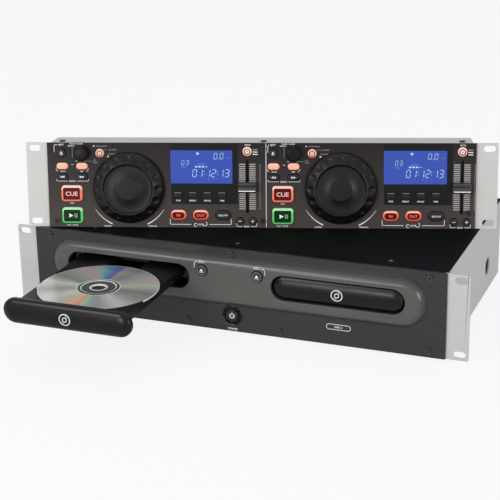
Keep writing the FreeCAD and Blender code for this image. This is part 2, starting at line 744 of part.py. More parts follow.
fascia_screws = [
    (-s.fascia_screw_across, s.fascia_screw_up), (s.fascia_screw_across, s.fascia_screw_up),
    (size_of(0), s.middle_screw_up),
    (-s.fascia_screw_across, s.fascia_screw_down), (s.fascia_screw_across, s.fascia_screw_down),
    (-s.inner_screw_across, s.fascia_screw_down), (s.inner_screw_across, s.fascia_screw_down)]
cover_screws = [-s.cover_screw_across, size_of(0), s.cover_screw_across]
rear_screw_up = half_height - s.flange_height / 2
screw_hole = s.screw_radius + s.screw_gap
button_room = s.button_flange + s.key_gap
open_buttons = [side * s.open_across for name, side in DECKS]
phono_places = [s.phono_first + number * s.phono_pitch for number in range(4)]
link_places = [s.round_socket_across + side * s.round_socket_pitch / 2 for name, side in DECKS]
post_places = [(side * deck_half + end * s.post_across, back)
               for name, side in DECKS for end in (-1, 1)
               for back in (s.post_front, s.post_rear)]
board_feet = [(side * (s.main_board_half - s.post_radius), back)
              for name, side in DECKS
              for back in (s.main_board_front + s.post_radius,
                           s.main_board_rear - s.post_radius)]


def make_base_pan():
    """Folded pan: floor, front and rear walls, side flanges, posts and standoffs."""
    walls = fuse(
        block((-pan_half, pan_half), (0, s.case_depth), (case_low, pan_floor)),
        block((-pan_half, pan_half), (0, s.sheet_thick), (case_low, cover_low)),
        block((-pan_half, pan_half), (s.case_depth - s.sheet_thick, s.case_depth),
              (case_low, cover_low)),
        block((-pan_half + s.flange_inset, pan_half - s.flange_inset), (0, s.flange_depth),
              (cover_low - s.sheet_thick, cover_low)),
        block((-pan_half, -pan_half + s.sheet_thick), (0, s.case_depth),
              (case_low, case_low + s.flange_height)),
        block((pan_half - s.sheet_thick, pan_half), (0, s.case_depth),
              (case_low, case_low + s.flange_height)),
        *[post(x, y, (pan_floor, s.loader_floor), s.post_radius) for x, y in post_places],
        *[post(x, y, (pan_floor, pan_floor + s.standoff_high), s.standoff_radius)
          for x, y in board_feet])
    front = (0, s.sheet_thick)
    holes = [rod(x, front, up, screw_hole) for x, up in fascia_screws]
    holes += [rod(x, front, s.open_up, s.open_radius + button_room) for x in open_buttons]
    holes.append(rod(0, front, s.power_up, s.power_radius + button_room))
    for x in cover_screws:
        holes.append(post(x, s.cover_screw_back, (cover_low - s.sheet_thick, cover_low),
                          screw_hole))
        holes.append(rod(x, (s.case_depth - s.sheet_thick, s.case_depth), rear_screw_up,
                         screw_hole))
    rear = (s.case_depth - s.sheet_thick, s.case_depth)
    holes.append(block(
        (s.inlet_across - s.inlet_half, s.inlet_across + s.inlet_half), rear,
        (s.inlet_up - s.inlet_half_high, s.inlet_up + s.inlet_half_high)))
    holes += [rod(x, rear, s.inlet_up, s.phono_radius) for x in phono_places]
    holes += [rod(x, rear, s.inlet_up, s.round_socket_nose) for x in link_places]
    holes += [stadium_bar(side * deck_half, front) for name, side in DECKS]
    node("base_pan", cut(walls, *holes))


def stadium_bar(across, back):
    """The shape of a door opening as a bar along Y."""
    half_long = s.door_half - s.door_radius
    radius = s.door_radius + s.door_gap
    return fuse(
        block((across - half_long, across + half_long), back,
              (s.door_up - radius, s.door_up + radius)),
        rod(across - half_long, back, s.door_up, radius),
        rod(across + half_long, back, s.door_up, radius))


def rack_slot(across, back, up):
    """One obround slot of the rack pattern, as a bar along Y."""
    radius = s.slot_width / 2
    half_long = s.slot_length / 2 - radius
    return fuse(
        block((across - half_long, across + half_long), back, (up - radius, up + radius)),
        rod(across - half_long, back, up, radius), rod(across + half_long, back, up, radius))


def make_side_bracket(name, side):
    """One folded sheet: the case's side wall and the rack ear in front of it."""
    def sideways(inner, outer):
        return (inner, outer) if side > 0 else (-outer, -inner)
    plate = block(sideways(pan_half, case_half), (-s.ear_thick, s.case_depth),
                  (case_low, cover_low))
    ear = block(sideways(pan_half, panel_half), (-s.ear_thick, 0), (-half_height, half_height))
    holes = [rack_slot(side * s.slot_across / 2, (-s.ear_thick, 0), level * s.slot_up / 2)
             for level in (-1, 1)]
    holes.append(side_rod(sideways(pan_half, case_half), s.case_depth - s.lift_hole_from_rear,
                          s.lift_hole_up, s.lift_hole_radius))
    bracket = cut(fuse(plate, ear), *holes)
    doc.recompute()
    outer = (side * panel_half).value
    edges = [(number, s.ear_corner.value, s.ear_corner.value)
             for number, edge in enumerate(bracket.Shape.Edges, 1)
             if meets(edge.BoundBox.XMin, outer) and meets(edge.BoundBox.XMax, outer)
             and meets(edge.BoundBox.ZMin, edge.BoundBox.ZMax)]
    rounded = doc.addObject("Part::Fillet", "ear_corners")
    rounded.Base = bracket
    rounded.Edges = edges
    node(f"side_bracket_{name}", rounded)


def make_top_cover():
    """Flat cover on the side brackets, with a lip folded down the rear wall."""
    lid = fuse(
        block((-case_half, case_half), (0, s.case_depth + s.cover_thick),
              (cover_low, half_height)),
        block((-pan_half, pan_half), (s.case_depth, s.case_depth + s.cover_thick),
              (half_height - s.flange_height, half_height)))
    holes = []
    for x in cover_screws:
        holes.append(sink(x, s.cover_screw_back, half_height))
        holes.append(rod(x, (s.case_depth, s.case_depth + s.cover_thick), rear_screw_up,
                         screw_hole))
    node("top_cover", cut(lid, *holes))


def make_drive_fascia():
    """Moulded front: a plate that laps the ears, and the raised racetrack round the doors."""
    body = new_body("drive_fascia")
    sketch = front_sketch(body, 0)
    inner = pan_half - s.run_gap
    draw_rectangle(sketch, (-inner, inner), (-half_height, half_height))
    pad(body, sketch, s.ear_thick)
    sketch = front_sketch(body, -s.ear_thick)
    draw_rectangle(sketch, (-case_half, case_half), (-half_height, half_height))
    pad(body, sketch, s.fascia_thick - s.ear_thick)
    sketch = front_sketch(body, fascia_front)
    draw_capsule(sketch, 0, s.platform_up, s.platform_half, s.platform_radius)
    raised = pad(body, sketch, s.platform_rise)
    round_front(body, raised, platform_front, s.platform_round)
    sketch = front_sketch(body, fascia_front)
    draw_circle(sketch, 0, s.power_up, s.power_ring)
    pocket(body, sketch, s.power_ring_depth)
    sketch = front_sketch(body, 0)
    for name, side in DECKS:
        draw_capsule(sketch, side * deck_half, s.door_up, s.door_half + s.door_gap,
                     s.door_radius + s.door_gap)
        draw_circle(sketch, side * s.open_across, s.open_up, s.open_radius + s.key_gap)
    draw_circle(sketch, 0, s.power_up, s.power_radius + s.key_gap)
    for x, up in fascia_screws:
        draw_circle(sketch, x, up, screw_hole)
    pocket(body, sketch)


def make_rubber_feet():
    """Four tapered feet."""
    feet = []
    for name, side in DECKS:
        for back in (s.foot_inset, s.case_depth - s.foot_inset):
            foot = doc.addObject("Part::Cone", "foot")
            bind(foot, Radius1=s.foot_tip_radius, Radius2=s.foot_radius, Height=s.foot_height)
            feet.append(place(foot, side * (case_half - s.foot_inset), back,
                              case_low - s.foot_height))
    node("rubber_feet", group(*feet))


def make_drive_screws():
    """Screws of the fascia, the cover and its rear lip."""
    screws = [screw(x, fascia_front, up, "front") for x, up in fascia_screws]
    screws += [flush_screw(x, s.cover_screw_back, half_height) for x in cover_screws]
    screws += [screw(x, s.case_depth + s.cover_thick, rear_screw_up, "rear")
               for x in cover_screws]
    node("drive_screws", group(*screws))


# ---------------------------------------------------------------- drive unit: inside

def make_loader(side):
    """One loader frame with its rods and posts, its motor and its clamp puck."""
    centre = side * deck_half
    def across(low, high):
        return (centre + low, centre + high)
    wall_in = s.loader_half - s.loader_wall
    along = (loader_front, s.loader_rear)
    bridge = (s.disc_back - s.bridge_depth / 2, s.disc_back + s.bridge_depth / 2)
    ledge_top = rib_low - s.run_gap
    lip_low = s.tray_top + s.run_gap
    bridge_top = s.bridge_up + s.bridge_thick
    guide_in = tray_half + s.run_gap
    rib_in = tray_half - s.tray_rib_thick
    pieces = [block(across(-s.loader_half, s.loader_half), along, (s.loader_floor, loader_deck))]
    for hand in (-1, 1):
        def strip(inner, outer):
            return across(inner, outer) if hand > 0 else across(-outer, -inner)
        pieces += [
            block(strip(wall_in, s.loader_half), along,
                  (s.loader_floor, lip_low + s.loader_sheet)),
            block(strip(rib_in, wall_in), along, (ledge_top - s.loader_sheet, ledge_top)),
            block(strip(guide_in, wall_in), along, (ledge_top, s.guide_top)),
            block(strip(guide_in - s.loader_wall, wall_in), along,
                  (lip_low, lip_low + s.loader_sheet)),
            block(strip(wall_in, s.loader_half), bridge, (lip_low, bridge_top))]
        rod_x = centre + hand * s.rod_across
        for back in (s.rod_front, s.rod_rear - s.rod_post):
            pieces.append(block(
                (rod_x - s.rod_post, rod_x + s.rod_post), (back, back + s.rod_post),
                (s.loader_floor, s.rod_up + s.rod_post)))
        pieces.append(rod(rod_x, (s.rod_front, s.rod_rear), s.rod_up, s.rod_radius))
    pieces.append(block(across(-s.loader_half, s.loader_half), bridge,
                        (s.bridge_up, bridge_top)))
    axle_x = centre + s.gear_across
    pieces.append(post(axle_x, s.gear_back, (s.loader_floor, rib_low + s.gear_thick),
                       s.axle_radius))
    pieces.append(post(axle_x, s.gear_back, (s.loader_floor, rib_low + s.run_gap),
                       s.axle_shoulder))
    frame = cut(fuse(*pieces), post(centre, s.disc_back, (s.bridge_up, bridge_top),
                                    s.puck_radius))
    motor = cut(
        post(centre, s.disc_back, (loader_deck, loader_deck + s.motor_high), s.motor_radius),
        post(centre, s.disc_back, (loader_deck + s.motor_floor, loader_deck + s.motor_high),
             s.spindle_shaft + s.bore_gap))
    puck = fuse(
        post(centre, s.disc_back, (s.puck_low, bridge_top), s.puck_radius - s.run_gap),
        post(centre, s.disc_back, (bridge_top, bridge_top + s.bridge_thick), s.puck_flange))
    return [frame, motor, puck]


def make_tray(name, side, out):
    """Disc tray: plate with two disc recesses and a window, side ribs and a toothed rack."""
    body = new_body(f"tray_{name}")
    sketch = sketch_on(body, "XY_Plane", tray_low)
    draw_rectangle(sketch, (-tray_half, tray_half), (platform_front + s.door_thick, s.tray_rear))
    pad(body, sketch, s.tray_plate)
    rib_in = tray_half - s.tray_rib_thick
    sketch = sketch_on(body, "XY_Plane", rib_low)
    for hand in (-1, 1):
        inner, outer = sorted((hand * rib_in, hand * tray_half), key=lambda size: size.value)
        draw_rectangle(sketch, (inner, outer), (platform_front + s.door_thick, s.tray_rear))
    rack_front = s.gear_back - pitch_radius
    rack_rear = s.gear_back + s.tray_travel + pitch_radius
    root_line = rack_line + s.gear_module * s.tooth_root
    draw_rectangle(sketch, (root_line, root_line + s.rack_thick), (rack_front, rack_rear))
    pad(body, sketch, s.tray_rib_drop)
    sketch = sketch_on(body, "XY_Plane", s.tray_top)
    draw_circle(sketch, 0, s.disc_back, s.seat_radius)
    pocket(body, sketch, s.seat_depth)
    sketch = sketch_on(body, "XY_Plane", seat_floor)
    draw_circle(sketch, 0, s.disc_back, s.small_seat_radius)
    pocket(body, sketch, s.small_seat_depth)
    sketch = sketch_on(body, "XY_Plane", s.tray_top)
    left, right = -s.window_half, s.window_half
    draw_path(sketch, (
        (left, s.window_rear, None),
        (left, s.disc_back, (0, s.disc_back)),
        (right, s.disc_back, None),
        (right, s.window_rear, None)))
    pocket(body, sketch, s.tray_plate + s.tray_rib_drop)
    pitch = math.pi * s.gear_module
    slant = s.gear_module * s.pressure_angle.tangent()
    tip_half = pitch / 4 - s.gear_play / 2 - slant
    root_half = pitch / 4 - s.gear_play / 2 + slant * s.tooth_root
    start = s.gear_back + pitch / 2 - pitch * s.rack_spare
    sketch = sketch_on(body, "XY_Plane", rib_low)
    draw_loop(sketch, (
        (root_line, start - root_half), (root_line, start + root_half),
        (rack_line - s.gear_module, start + tip_half),
        (rack_line - s.gear_module, start - tip_half)))
    tooth = pad(body, sketch, s.tray_rib_drop)
    row = body.newObject("PartDesign::LinearPattern", "teeth")
    row.Originals = [tooth]
    row.Direction = (sketch, ["V_Axis"])
    teeth = int((s.tray_travel / pitch + 2 * s.rack_spare).value)
    row.Occurrences = teeth
    bind(row, Length=pitch * (teeth - 1))
    body.Tip = row
    place(body, side * deck_half, out)


def involute_angle(radius, base):
    """Polar angle of an involute at a radius."""
    ratio = max(radius / base, 1.0)
    return math.sqrt(ratio * ratio - 1) - math.acos(1 / ratio)


def gear_shape(module, teeth, thick, bore, play):
    """Spur gear with involute flanks, its axis along Z and a tooth pointing along X."""
    pitch = module * teeth / 2
    base = pitch * math.cos(math.radians(s.pressure_angle.value))
    root, tip = pitch - s.tooth_root.value * module, pitch + module
    half = math.pi / (2 * teeth) - play / (2 * pitch) + involute_angle(pitch, base)
    steps = [root] + [base + (tip - base) * step / FLANK_STEPS
                      for step in range(FLANK_STEPS + 1)]
    points = []
    for number in range(teeth):
        middle = 2 * math.pi * number / teeth
        for radius in steps:
            angle = middle - half + involute_angle(radius, base)
            points.append(V(radius * math.cos(angle), radius * math.sin(angle), 0))
        for radius in reversed(steps):
            angle = middle + half - involute_angle(radius, base)
            points.append(V(radius * math.cos(angle), radius * math.sin(angle), 0))
    disc = Part.Face(Part.makePolygon(points + points[:1])).extrude(V(0, 0, thick))
    return disc.cut(Part.makeCylinder(bore, thick))


def make_loading_gear(name, side, out):
    """Loading gear under the tray, turned to mesh with the rack where the tray stands."""
    gear = doc.addObject("Part::Feature", "gear")
    gear.Shape = gear_shape(s.gear_module.value, int(s.gear_teeth.value), s.gear_thick.value,
                            s.axle_radius.value + s.bore_gap.value, s.gear_play.value)
    turned = math.degrees((size_of(out) / pitch_radius).value)
    gear.Placement = FreeCAD.Placement(V(0, 0, 0), FreeCAD.Rotation(V(0, 0, 1), turned))
    place(gear, side * deck_half + s.gear_across, s.gear_back, rib_low + s.run_gap * 2)
    node(f"loading_gear_{name}", gear)


def make_tray_door(name, side, out):
    """Bullnose door on the front of a tray."""
    body = new_body(f"tray_door_{name}")
    sketch = front_sketch(body, platform_front + s.door_thick)
    draw_capsule(sketch, 0, s.door_up, s.door_half, s.door_radius)
    front = pad(body, sketch, s.door_thick)
    round_front(body, front, platform_front, s.door_round)
    place(body, side * deck_half, out)


def make_disc(side, out):
    """A 12 cm disc with its stacking ring."""
    body = new_body("compact_disc")
    ring_in = s.stack_ring_radius
    ring_out = s.stack_ring_radius + s.stack_ring_width
    low = seat_floor + s.run_gap
    top = low + s.disc_thick
    revolve_upright(body, (
        (s.disc_hole, low), (s.disc_radius, low), (s.disc_radius, top), (ring_out, top),
        (ring_out, top + s.stack_ring_high), (ring_in, top + s.stack_ring_high),
        (ring_in, top), (s.disc_hole, top)))
    place(body, side * deck_half, s.disc_back + out)


def make_spindle(name, side):
    """Turntable with its centring boss and shaft."""
    body = new_body(f"spindle_{name}")
    low = loader_deck + s.motor_floor + s.run_gap
    face = s.spindle_top
    revolve_upright(body, (
        (0, low), (s.spindle_shaft, low), (s.spindle_shaft, face - s.spindle_thick),
        (s.spindle_radius, face - s.spindle_thick), (s.spindle_radius, face),
        (s.hub_radius, face), (s.hub_radius - s.hub_high, face + s.hub_high),
        (0, face + s.hub_high)))
    place(body, side * deck_half, s.disc_back)


def make_pickup(name, side):
    """Laser pickup on its two guide rods, with the lens holder on top."""
    centre = side * deck_half
    depth = (s.pickup_front, s.pickup_front + s.pickup_depth)
    lens_back = s.pickup_front + s.lens_inset
    carriage = fuse(
        block((centre - s.pickup_half, centre + s.pickup_half), depth,
              (s.pickup_low, s.pickup_top)),
        post(centre, lens_back, (s.pickup_top, s.lens_top), s.lens_radius))
    bores = [rod(centre + hand * s.rod_across, depth, s.rod_up, s.rod_radius + s.bore_gap)
             for hand in (-1, 1)]
    node(f"pickup_{name}", cut(carriage, *bores))


def make_drive_button(label, across, up, radius, front):
    """Round button: rounded cap, keeper flange and stem."""
    body = new_body(label)
    sketch = front_sketch(body, s.key_gap)
    draw_circle(sketch, across, up, radius)
    cap = pad(body, sketch, s.key_gap - front)
    round_front(body, cap, front, s.key_round)
    sketch = front_sketch(body, s.key_gap + s.key_flange_thick)
    draw_circle(sketch, across, up, radius + s.button_flange)
    pad(body, sketch, s.key_flange_thick)
    reach = s.front_board_back - s.switch_high - s.key_travel - s.key_gap
    sketch = front_sketch(body, reach)
    draw_circle(sketch, across, up, s.stem_radius)
    pad(body, sketch, reach - s.key_gap - s.key_flange_thick)


def make_main_board():
    """Main board on its standoffs, and the front board with its switches."""
    level = pan_floor + s.standoff_high
    top = level + s.board_thick
    back = s.front_board_back
    pieces = [
        block((-s.main_board_half, s.main_board_half), (s.main_board_front, s.main_board_rear),
              (level, top)),
        block((-s.front_board_half, s.front_board_half), (back, back + s.board_thick),
              (pan_floor, s.front_board_top))]
    switches = [(x, s.open_up) for x in open_buttons] + [(size_of(0), s.power_up)]
    for x, up in switches:
        pieces.append(block((x - s.switch_half, x + s.switch_half), (back - s.switch_high, back),
                            (up - s.switch_half, up + s.switch_half)))
    chip_front = s.main_board_front + s.chip_back
    for number in (-1, 0, 1):
        chip_x = number * s.chip_pitch
        pieces.append(block((chip_x - s.chip_half, chip_x + s.chip_half),
                            (chip_front, chip_front + s.chip_depth),
                            (top, top + s.chip_high)))
        pieces.append(post(chip_x, s.main_board_rear - s.capacitor_inset,
                           (top, top + s.capacitor_high), s.capacitor_radius))
    node("main_board", group(*pieces))


def make_transformer():
    """Mains transformer: laminated core and the coil round its middle leg."""
    depth = (s.core_front, s.core_front + s.core_depth)
    core = block((-s.core_half, s.core_half), depth, (pan_floor, pan_floor + s.core_high))
    inner = s.coil_bulge
    coil_up = (pan_floor + inner, pan_floor + s.core_high - inner)
    coil_half = s.core_half - inner
    coil = block((-coil_half, coil_half), (depth[0] - inner, depth[1] + inner), coil_up)
    node("power_transformer", group(cut(core, block((-coil_half, coil_half), depth, coil_up)),
                                    coil))


def make_rear_sockets():
    """Mains inlet, phono sockets and the two round sockets of the control leads."""
    wall = s.case_depth
    x, up = s.inlet_across, s.inlet_up
    body = (x - s.inlet_half, x + s.inlet_half)
    rise = (up - s.inlet_half_high, up + s.inlet_half_high)
    thin = s.inlet_wall
    rim = wall + s.inlet_rim
    floor = rim - s.inlet_depth
    shell = cut(
        fuse(block(body, (wall - s.inlet_body, wall), rise),
             block((body[0] - thin, body[1] + thin), (wall, rim),
                   (rise[0] - thin, rise[1] + thin))),
        block((body[0] + thin, body[1] - thin), (floor, rim),
              (rise[0] + thin, rise[1] - thin)))
    pins = [block((x + place_x - s.pin_half, x + place_x + s.pin_half),
                  (floor, floor + s.pin_long),
                  (up + place_up - s.pin_half_high, up + place_up + s.pin_half_high))
            for place_x, place_up in ((-s.pin_across, -s.pin_drop), (size_of(0), s.pin_rise),
                                      (s.pin_across, -s.pin_drop))]
    pieces = [fuse(shell, *pins)]
    half = s.phono_pitch / 2
    strip = block((phono_places[0] - half, phono_places[3] + half),
                  (wall - s.sheet_thick - s.phono_body, wall - s.sheet_thick),
                  (up - half, up + half))
    barrels = [rod(place_x, (wall - s.sheet_thick, wall + s.phono_long), up, s.phono_radius)
               for place_x in phono_places]
    bores = [rod(place_x, (wall, wall + s.phono_long), up, s.phono_bore)
             for place_x in phono_places]
    pieces.append(cut(fuse(strip, *barrels), *bores))
    for place_x in link_places:
        pieces.append(round_socket(place_x, wall, s.sheet_thick, up,
                                   s.round_socket_body))
    node("rear_sockets", group(*pieces))


def round_socket(across, face, wall, up, long):
    """Round socket facing +Y: a block behind the wall, a nose in its hole and a ring groove."""
    half = s.round_socket_half
    shoulder = face - wall
    outline = fuse(block((across - half, across + half), (face - long, shoulder),
                         (up - half, up + half)),
                   rod(across, (shoulder, face), up, s.round_socket_nose))
    groove = cut(rod(across, (face - s.round_socket_depth, face), up, s.round_socket_ring),
                 rod(across, (face - s.round_socket_depth, face), up, s.round_socket_core))
    return cut(outline, groove)


# ---------------------------------------------------------------- control unit

def deck_middle(side):
    """Where the middle of a control deck lies across the panel."""
    return side * s.half_pitch + s.deck_shift


def circle_key(sketch, across, up, grow, radius):
    """Outline of a round key, grown for a hole or a flange."""
    draw_circle(sketch, across, up, radius + grow)


def capsule_key(sketch, across, up, grow, half_long, radius):
    """Outline of a long key with round ends."""
    draw_capsule(sketch, across, up, half_long + grow, radius + grow)


def square_key(sketch, across, up, grow, half_wide, half_high, corner):
    """Outline of a rectangular key with rounded corners."""
    draw_round_rectangle(sketch, across, up, half_wide + grow, half_high + grow, corner + grow)


loops = [s.loop_first + number * s.loop_pitch for number in range(3)]
skips = [s.skip_first + number * s.skip_pitch for number in range(2)]
smalls = [s.small_first + number * s.small_pitch for number in range(4)]
nudges = [s.nudge_first + number * s.nudge_pitch for number in range(2)]
skip_sizes = (s.skip_half, s.skip_radius)
loop_sizes = (s.loop_half, s.loop_radius)
cue_sizes = (s.cue_half, s.cue_half_high, s.cue_corner)
small_sizes = (s.small_half, s.small_half_high, s.small_corner)

# name, outline, sizes, how far it stands out, places of its keys
KEYS = (
    ("eject_button", circle_key, (s.eject_radius,), s.key_proud,
     [(s.eject_across, s.eject_up)]),
    ("mode_button", circle_key, (s.mode_radius,), s.key_proud, [(s.mode_across, s.mode_up)]),
    ("pitch_button", circle_key, (s.bend_on_radius,), s.key_proud,
     [(s.bend_on_across, s.bend_on_up)]),
    ("track_keys", capsule_key, skip_sizes, s.key_proud,
     [(x, up) for up in (s.skip_up, s.search_up) for x in skips]),
    ("cue_button", square_key, cue_sizes, s.cue_proud, [(s.cue_across, s.cue_up)]),
    ("play_button", square_key, cue_sizes, s.cue_proud, [(s.cue_across, s.play_up)]),
    ("loop_in_button", capsule_key, loop_sizes, s.key_proud, [(loops[0], s.loop_up)]),
    ("loop_out_button", capsule_key, loop_sizes, s.key_proud, [(loops[1], s.loop_up)]),
    ("reloop_button", capsule_key, loop_sizes, s.key_proud, [(loops[2], s.loop_up)]),
    ("mode_keys", square_key, small_sizes, s.key_proud, [(x, s.small_up) for x in smalls]),
    ("bend_keys", circle_key, (s.nudge_radius,), s.key_proud, [(x, s.nudge_up) for x in nudges]),
)
panel_screws = [
    (s.deck_shift, s.centre_screw_up), (s.deck_shift, s.centre_screw_down),
    (s.side_screw_across, s.side_screw_up), (s.side_screw_across, s.side_screw_down),
    (s.corner_screw_across, s.corner_screw_down)]
shell_screws = [-s.shell_screw_across, s.deck_shift, s.shell_screw_across]
clip_back = board_rear + s.clip_depth / 2
link_sockets = [side * s.link_socket_across for name, side in DECKS]
pillars = [(s.outer_pillar_across, s.outer_pillar_up),
           (s.inner_pillar_across, s.inner_pillar_low),
           (s.inner_pillar_across, s.inner_pillar_high)]


def make_control_panel():
    """Front plate of the control unit: its cut-outs and the pillars for the board."""
    body = new_body("control_panel")
    sketch = front_sketch(body, s.panel_thick)
    draw_rectangle(sketch, (-case_half, case_half), (0, s.panel_height))
    pad(body, sketch, s.panel_thick)
    sketch = front_sketch(body, s.control_board_back)
    for name, side in DECKS:
        for x, up in pillars:
            draw_circle(sketch, deck_middle(side) + x, up, s.pillar_radius)
    pad(body, sketch, s.control_board_back - s.panel_thick)
    for name, side in DECKS:
        middle = deck_middle(side)
        for label, outline, sizes, proud, places in KEYS:
            sketch = front_sketch(body, 0)
            for x, up in places:
                outline(sketch, middle + x, up, s.key_gap, *sizes)
            pocket(body, sketch, s.panel_thick)
        sketch = front_sketch(body, 0)
        draw_rectangle(
            sketch,
            (middle + s.screen_across - s.screen_half, middle + s.screen_across + s.screen_half),
            (s.screen_up - s.screen_half_high, s.screen_up + s.screen_half_high))
        draw_standing_capsule(sketch, middle + s.fader_across, s.fader_up, s.slot_half,
                              s.slot_half_wide)
        shaft_hole = s.shaft_radius + s.key_gap
        draw_circle(sketch, middle + s.wheel_across, s.wheel_up, shaft_hole)
        draw_circle(sketch, middle + s.knob_across, s.knob_up, shaft_hole)
        pocket(body, sketch, s.panel_thick)
    sketch = front_sketch(body, 0)
    for x, up in panel_screws:
        draw_circle(sketch, x, up, screw_hole)
    pocket(body, sketch, s.panel_thick)
    seat(body)


def make_control_case():
    """Wedge-shaped rear shell, open to the panel; its sloping floor rests on the cover."""
    body = new_body("control_case")
    wall = s.shell_wall
    slope = s.heel_lift / (shell_rear - wing_rear)
    sketch = sketch_on(body, "YZ_Plane", -shell_half)
    draw_loop(sketch, ((s.panel_thick, 0), (wing_rear, 0), (shell_rear, s.heel_lift),
                       (shell_rear, shell_top), (s.panel_thick, shell_top)))
    pad(body, sketch, s.shell_width)
    sketch = sketch_on(body, "YZ_Plane", shell_half - wall)
    inner_rear = shell_rear - wall
    draw_loop(sketch, ((0, wall), (wing_rear, wall),
                       (inner_rear, wall + slope * (inner_rear - wing_rear)),
                       (inner_rear, shell_top - wall), (0, shell_top - wall)))
    pocket(body, sketch, s.shell_width - 2 * wall)
    sketch = front_sketch(body, inner_rear)
    for x in link_sockets:
        draw_circle(sketch, x, s.link_socket_up, s.round_socket_nose)
    pocket(body, sketch, wall)
    sketch = sketch_on(body, "XY_Plane", shell_top)
    for x in shell_screws:
        draw_circle(sketch, x, clip_back, screw_hole)
    pocket(body, sketch, wall)
    seat(body)


def make_control_ears():
    """Folded rack ears that hold the control unit by its case."""
    ears = []
    for name, side in DECKS:
        def sideways(inner, outer):
            return (inner, outer) if side > 0 else (-outer, -inner)
        ear = block(sideways(shell_half, panel_half), (s.panel_thick, wing_rear),
                    (0, s.panel_height))
        flange = block(sideways(shell_half, shell_half + s.wing_thick),
                       (s.panel_thick, s.panel_thick + s.wing_flange),
                       (s.wing_inset, s.panel_height - s.wing_inset))
        slots = [rack_slot(side * s.slot_across / 2, (s.panel_thick, wing_rear),
                           half_height + level * s.slot_up / 2) for level in (-1, 1)]
        ears.append(cut(fuse(ear, flange), *slots))
    seat(node("control_ears", group(*ears)))


def make_control_board():
    """Board behind the panel, its screw blocks and the two link sockets."""
    back = s.control_board_back
    pieces = [block((-s.control_board_half, s.control_board_half), (back, board_rear),
                    (s.control_board_low, s.control_board_high))]
    clip_top = shell_top - s.shell_wall
    for x in shell_screws:
        clip = block((x - s.clip_half, x + s.clip_half), (board_rear, board_rear + s.clip_depth),
                     (clip_top - s.clip_high, clip_top))
        hole = post(x, clip_back, (clip_top - s.screw_length, clip_top), screw_hole)
        pieces.append(cut(clip, hole))
    for x in link_sockets:
        pieces.append(round_socket(x, shell_rear, s.shell_wall, s.link_socket_up,
                                   shell_rear - board_rear))
    seat(node("control_board", group(*pieces)))


def make_displays():
    """Display modules between the board and the panel, each with its glass in the window."""
    modules = []
    for name, side in DECKS:
        middle = deck_middle(side) + s.screen_across
        def screen(grow, low, high):
            half, half_high = s.screen_half + grow, s.screen_half_high + grow
            return block((middle - half, middle + half), (low, high),
                         (s.screen_up - half_high, s.screen_up + half_high))
        modules.append(fuse(screen(-s.key_gap, s.screen_sink, s.panel_thick),
                            screen(s.screen_frame, s.panel_thick, s.control_board_back)))
    seat(node("displays", group(*modules)))


def make_panel_controls():
    """What the moving controls work on: encoders, fader bodies and tact switches."""
    back = s.control_board_back
    pieces = []
    for name, side in DECKS:
        middle = deck_middle(side)
        for x, up in ((s.wheel_across, s.wheel_up), (s.knob_across, s.knob_up)):
            half = s.encoder_half
            can = block((middle + x - half, middle + x + half), (s.panel_thick, back),
                        (up - half, up + half))
            pieces.append(cut(can, rod(middle + x, (s.panel_thick, encoder_bottom), up,
                                       s.shaft_radius + s.bore_gap)))
        x, half_long = middle + s.fader_across, s.slot_half + s.track_end
        fader = block((x - s.track_half, x + s.track_half), (s.panel_thick, back),
                      (s.fader_up - half_long, s.fader_up + half_long))
        groove = block((x - s.slot_half_wide, x + s.slot_half_wide),
                       (s.panel_thick, back - s.track_floor),
                       (s.fader_up - s.slot_half, s.fader_up + s.slot_half))
        pieces.append(cut(fader, groove))
        for label, outline, sizes, proud, places in KEYS:
            for key_x, up in places:
                key_x = middle + key_x
                pieces.append(block((key_x - s.switch_half, key_x + s.switch_half),
                                    (switch_face, back),
                                    (up - s.switch_half, up + s.switch_half)))
    seat(node("panel_controls", group(*pieces)))


def make_control_screws():
    """Panel screws and case screws of the control unit."""
    screws = [screw(x, 0, up, "front", s.low_head_high) for x, up in panel_screws]
    screws += [screw(x, clip_back, shell_top, "up") for x in shell_screws]
    seat(node("control_screws", group(*screws)))


def make_key(name, side, label, outline, sizes, proud, places):
    """Key or row of keys: rounded cap, keeper flange behind the panel, and stem."""
    body = new_body(f"{label}_{name}")
    middle = deck_middle(side)
    flange_front = s.panel_thick + s.key_gap
    flange_rear = flange_front + s.key_flange_thick
    layers = ((flange_front, proud + flange_front, 0),
              (flange_rear, s.key_flange_thick, s.key_flange))
    for number, (rear, thick, grow) in enumerate(layers):
        sketch = front_sketch(body, rear)
        for x, up in places:
            outline(sketch, middle + x, up, grow, *sizes)
        layer = pad(body, sketch, thick)
        if number == 0:
            round_front(body, layer, -proud, s.key_round)
    sketch = front_sketch(body, stem_end)
    for x, up in places:
        draw_circle(sketch, middle + x, up, s.stem_radius)
    pad(body, sketch, stem_end - flange_rear)
    seat(body)


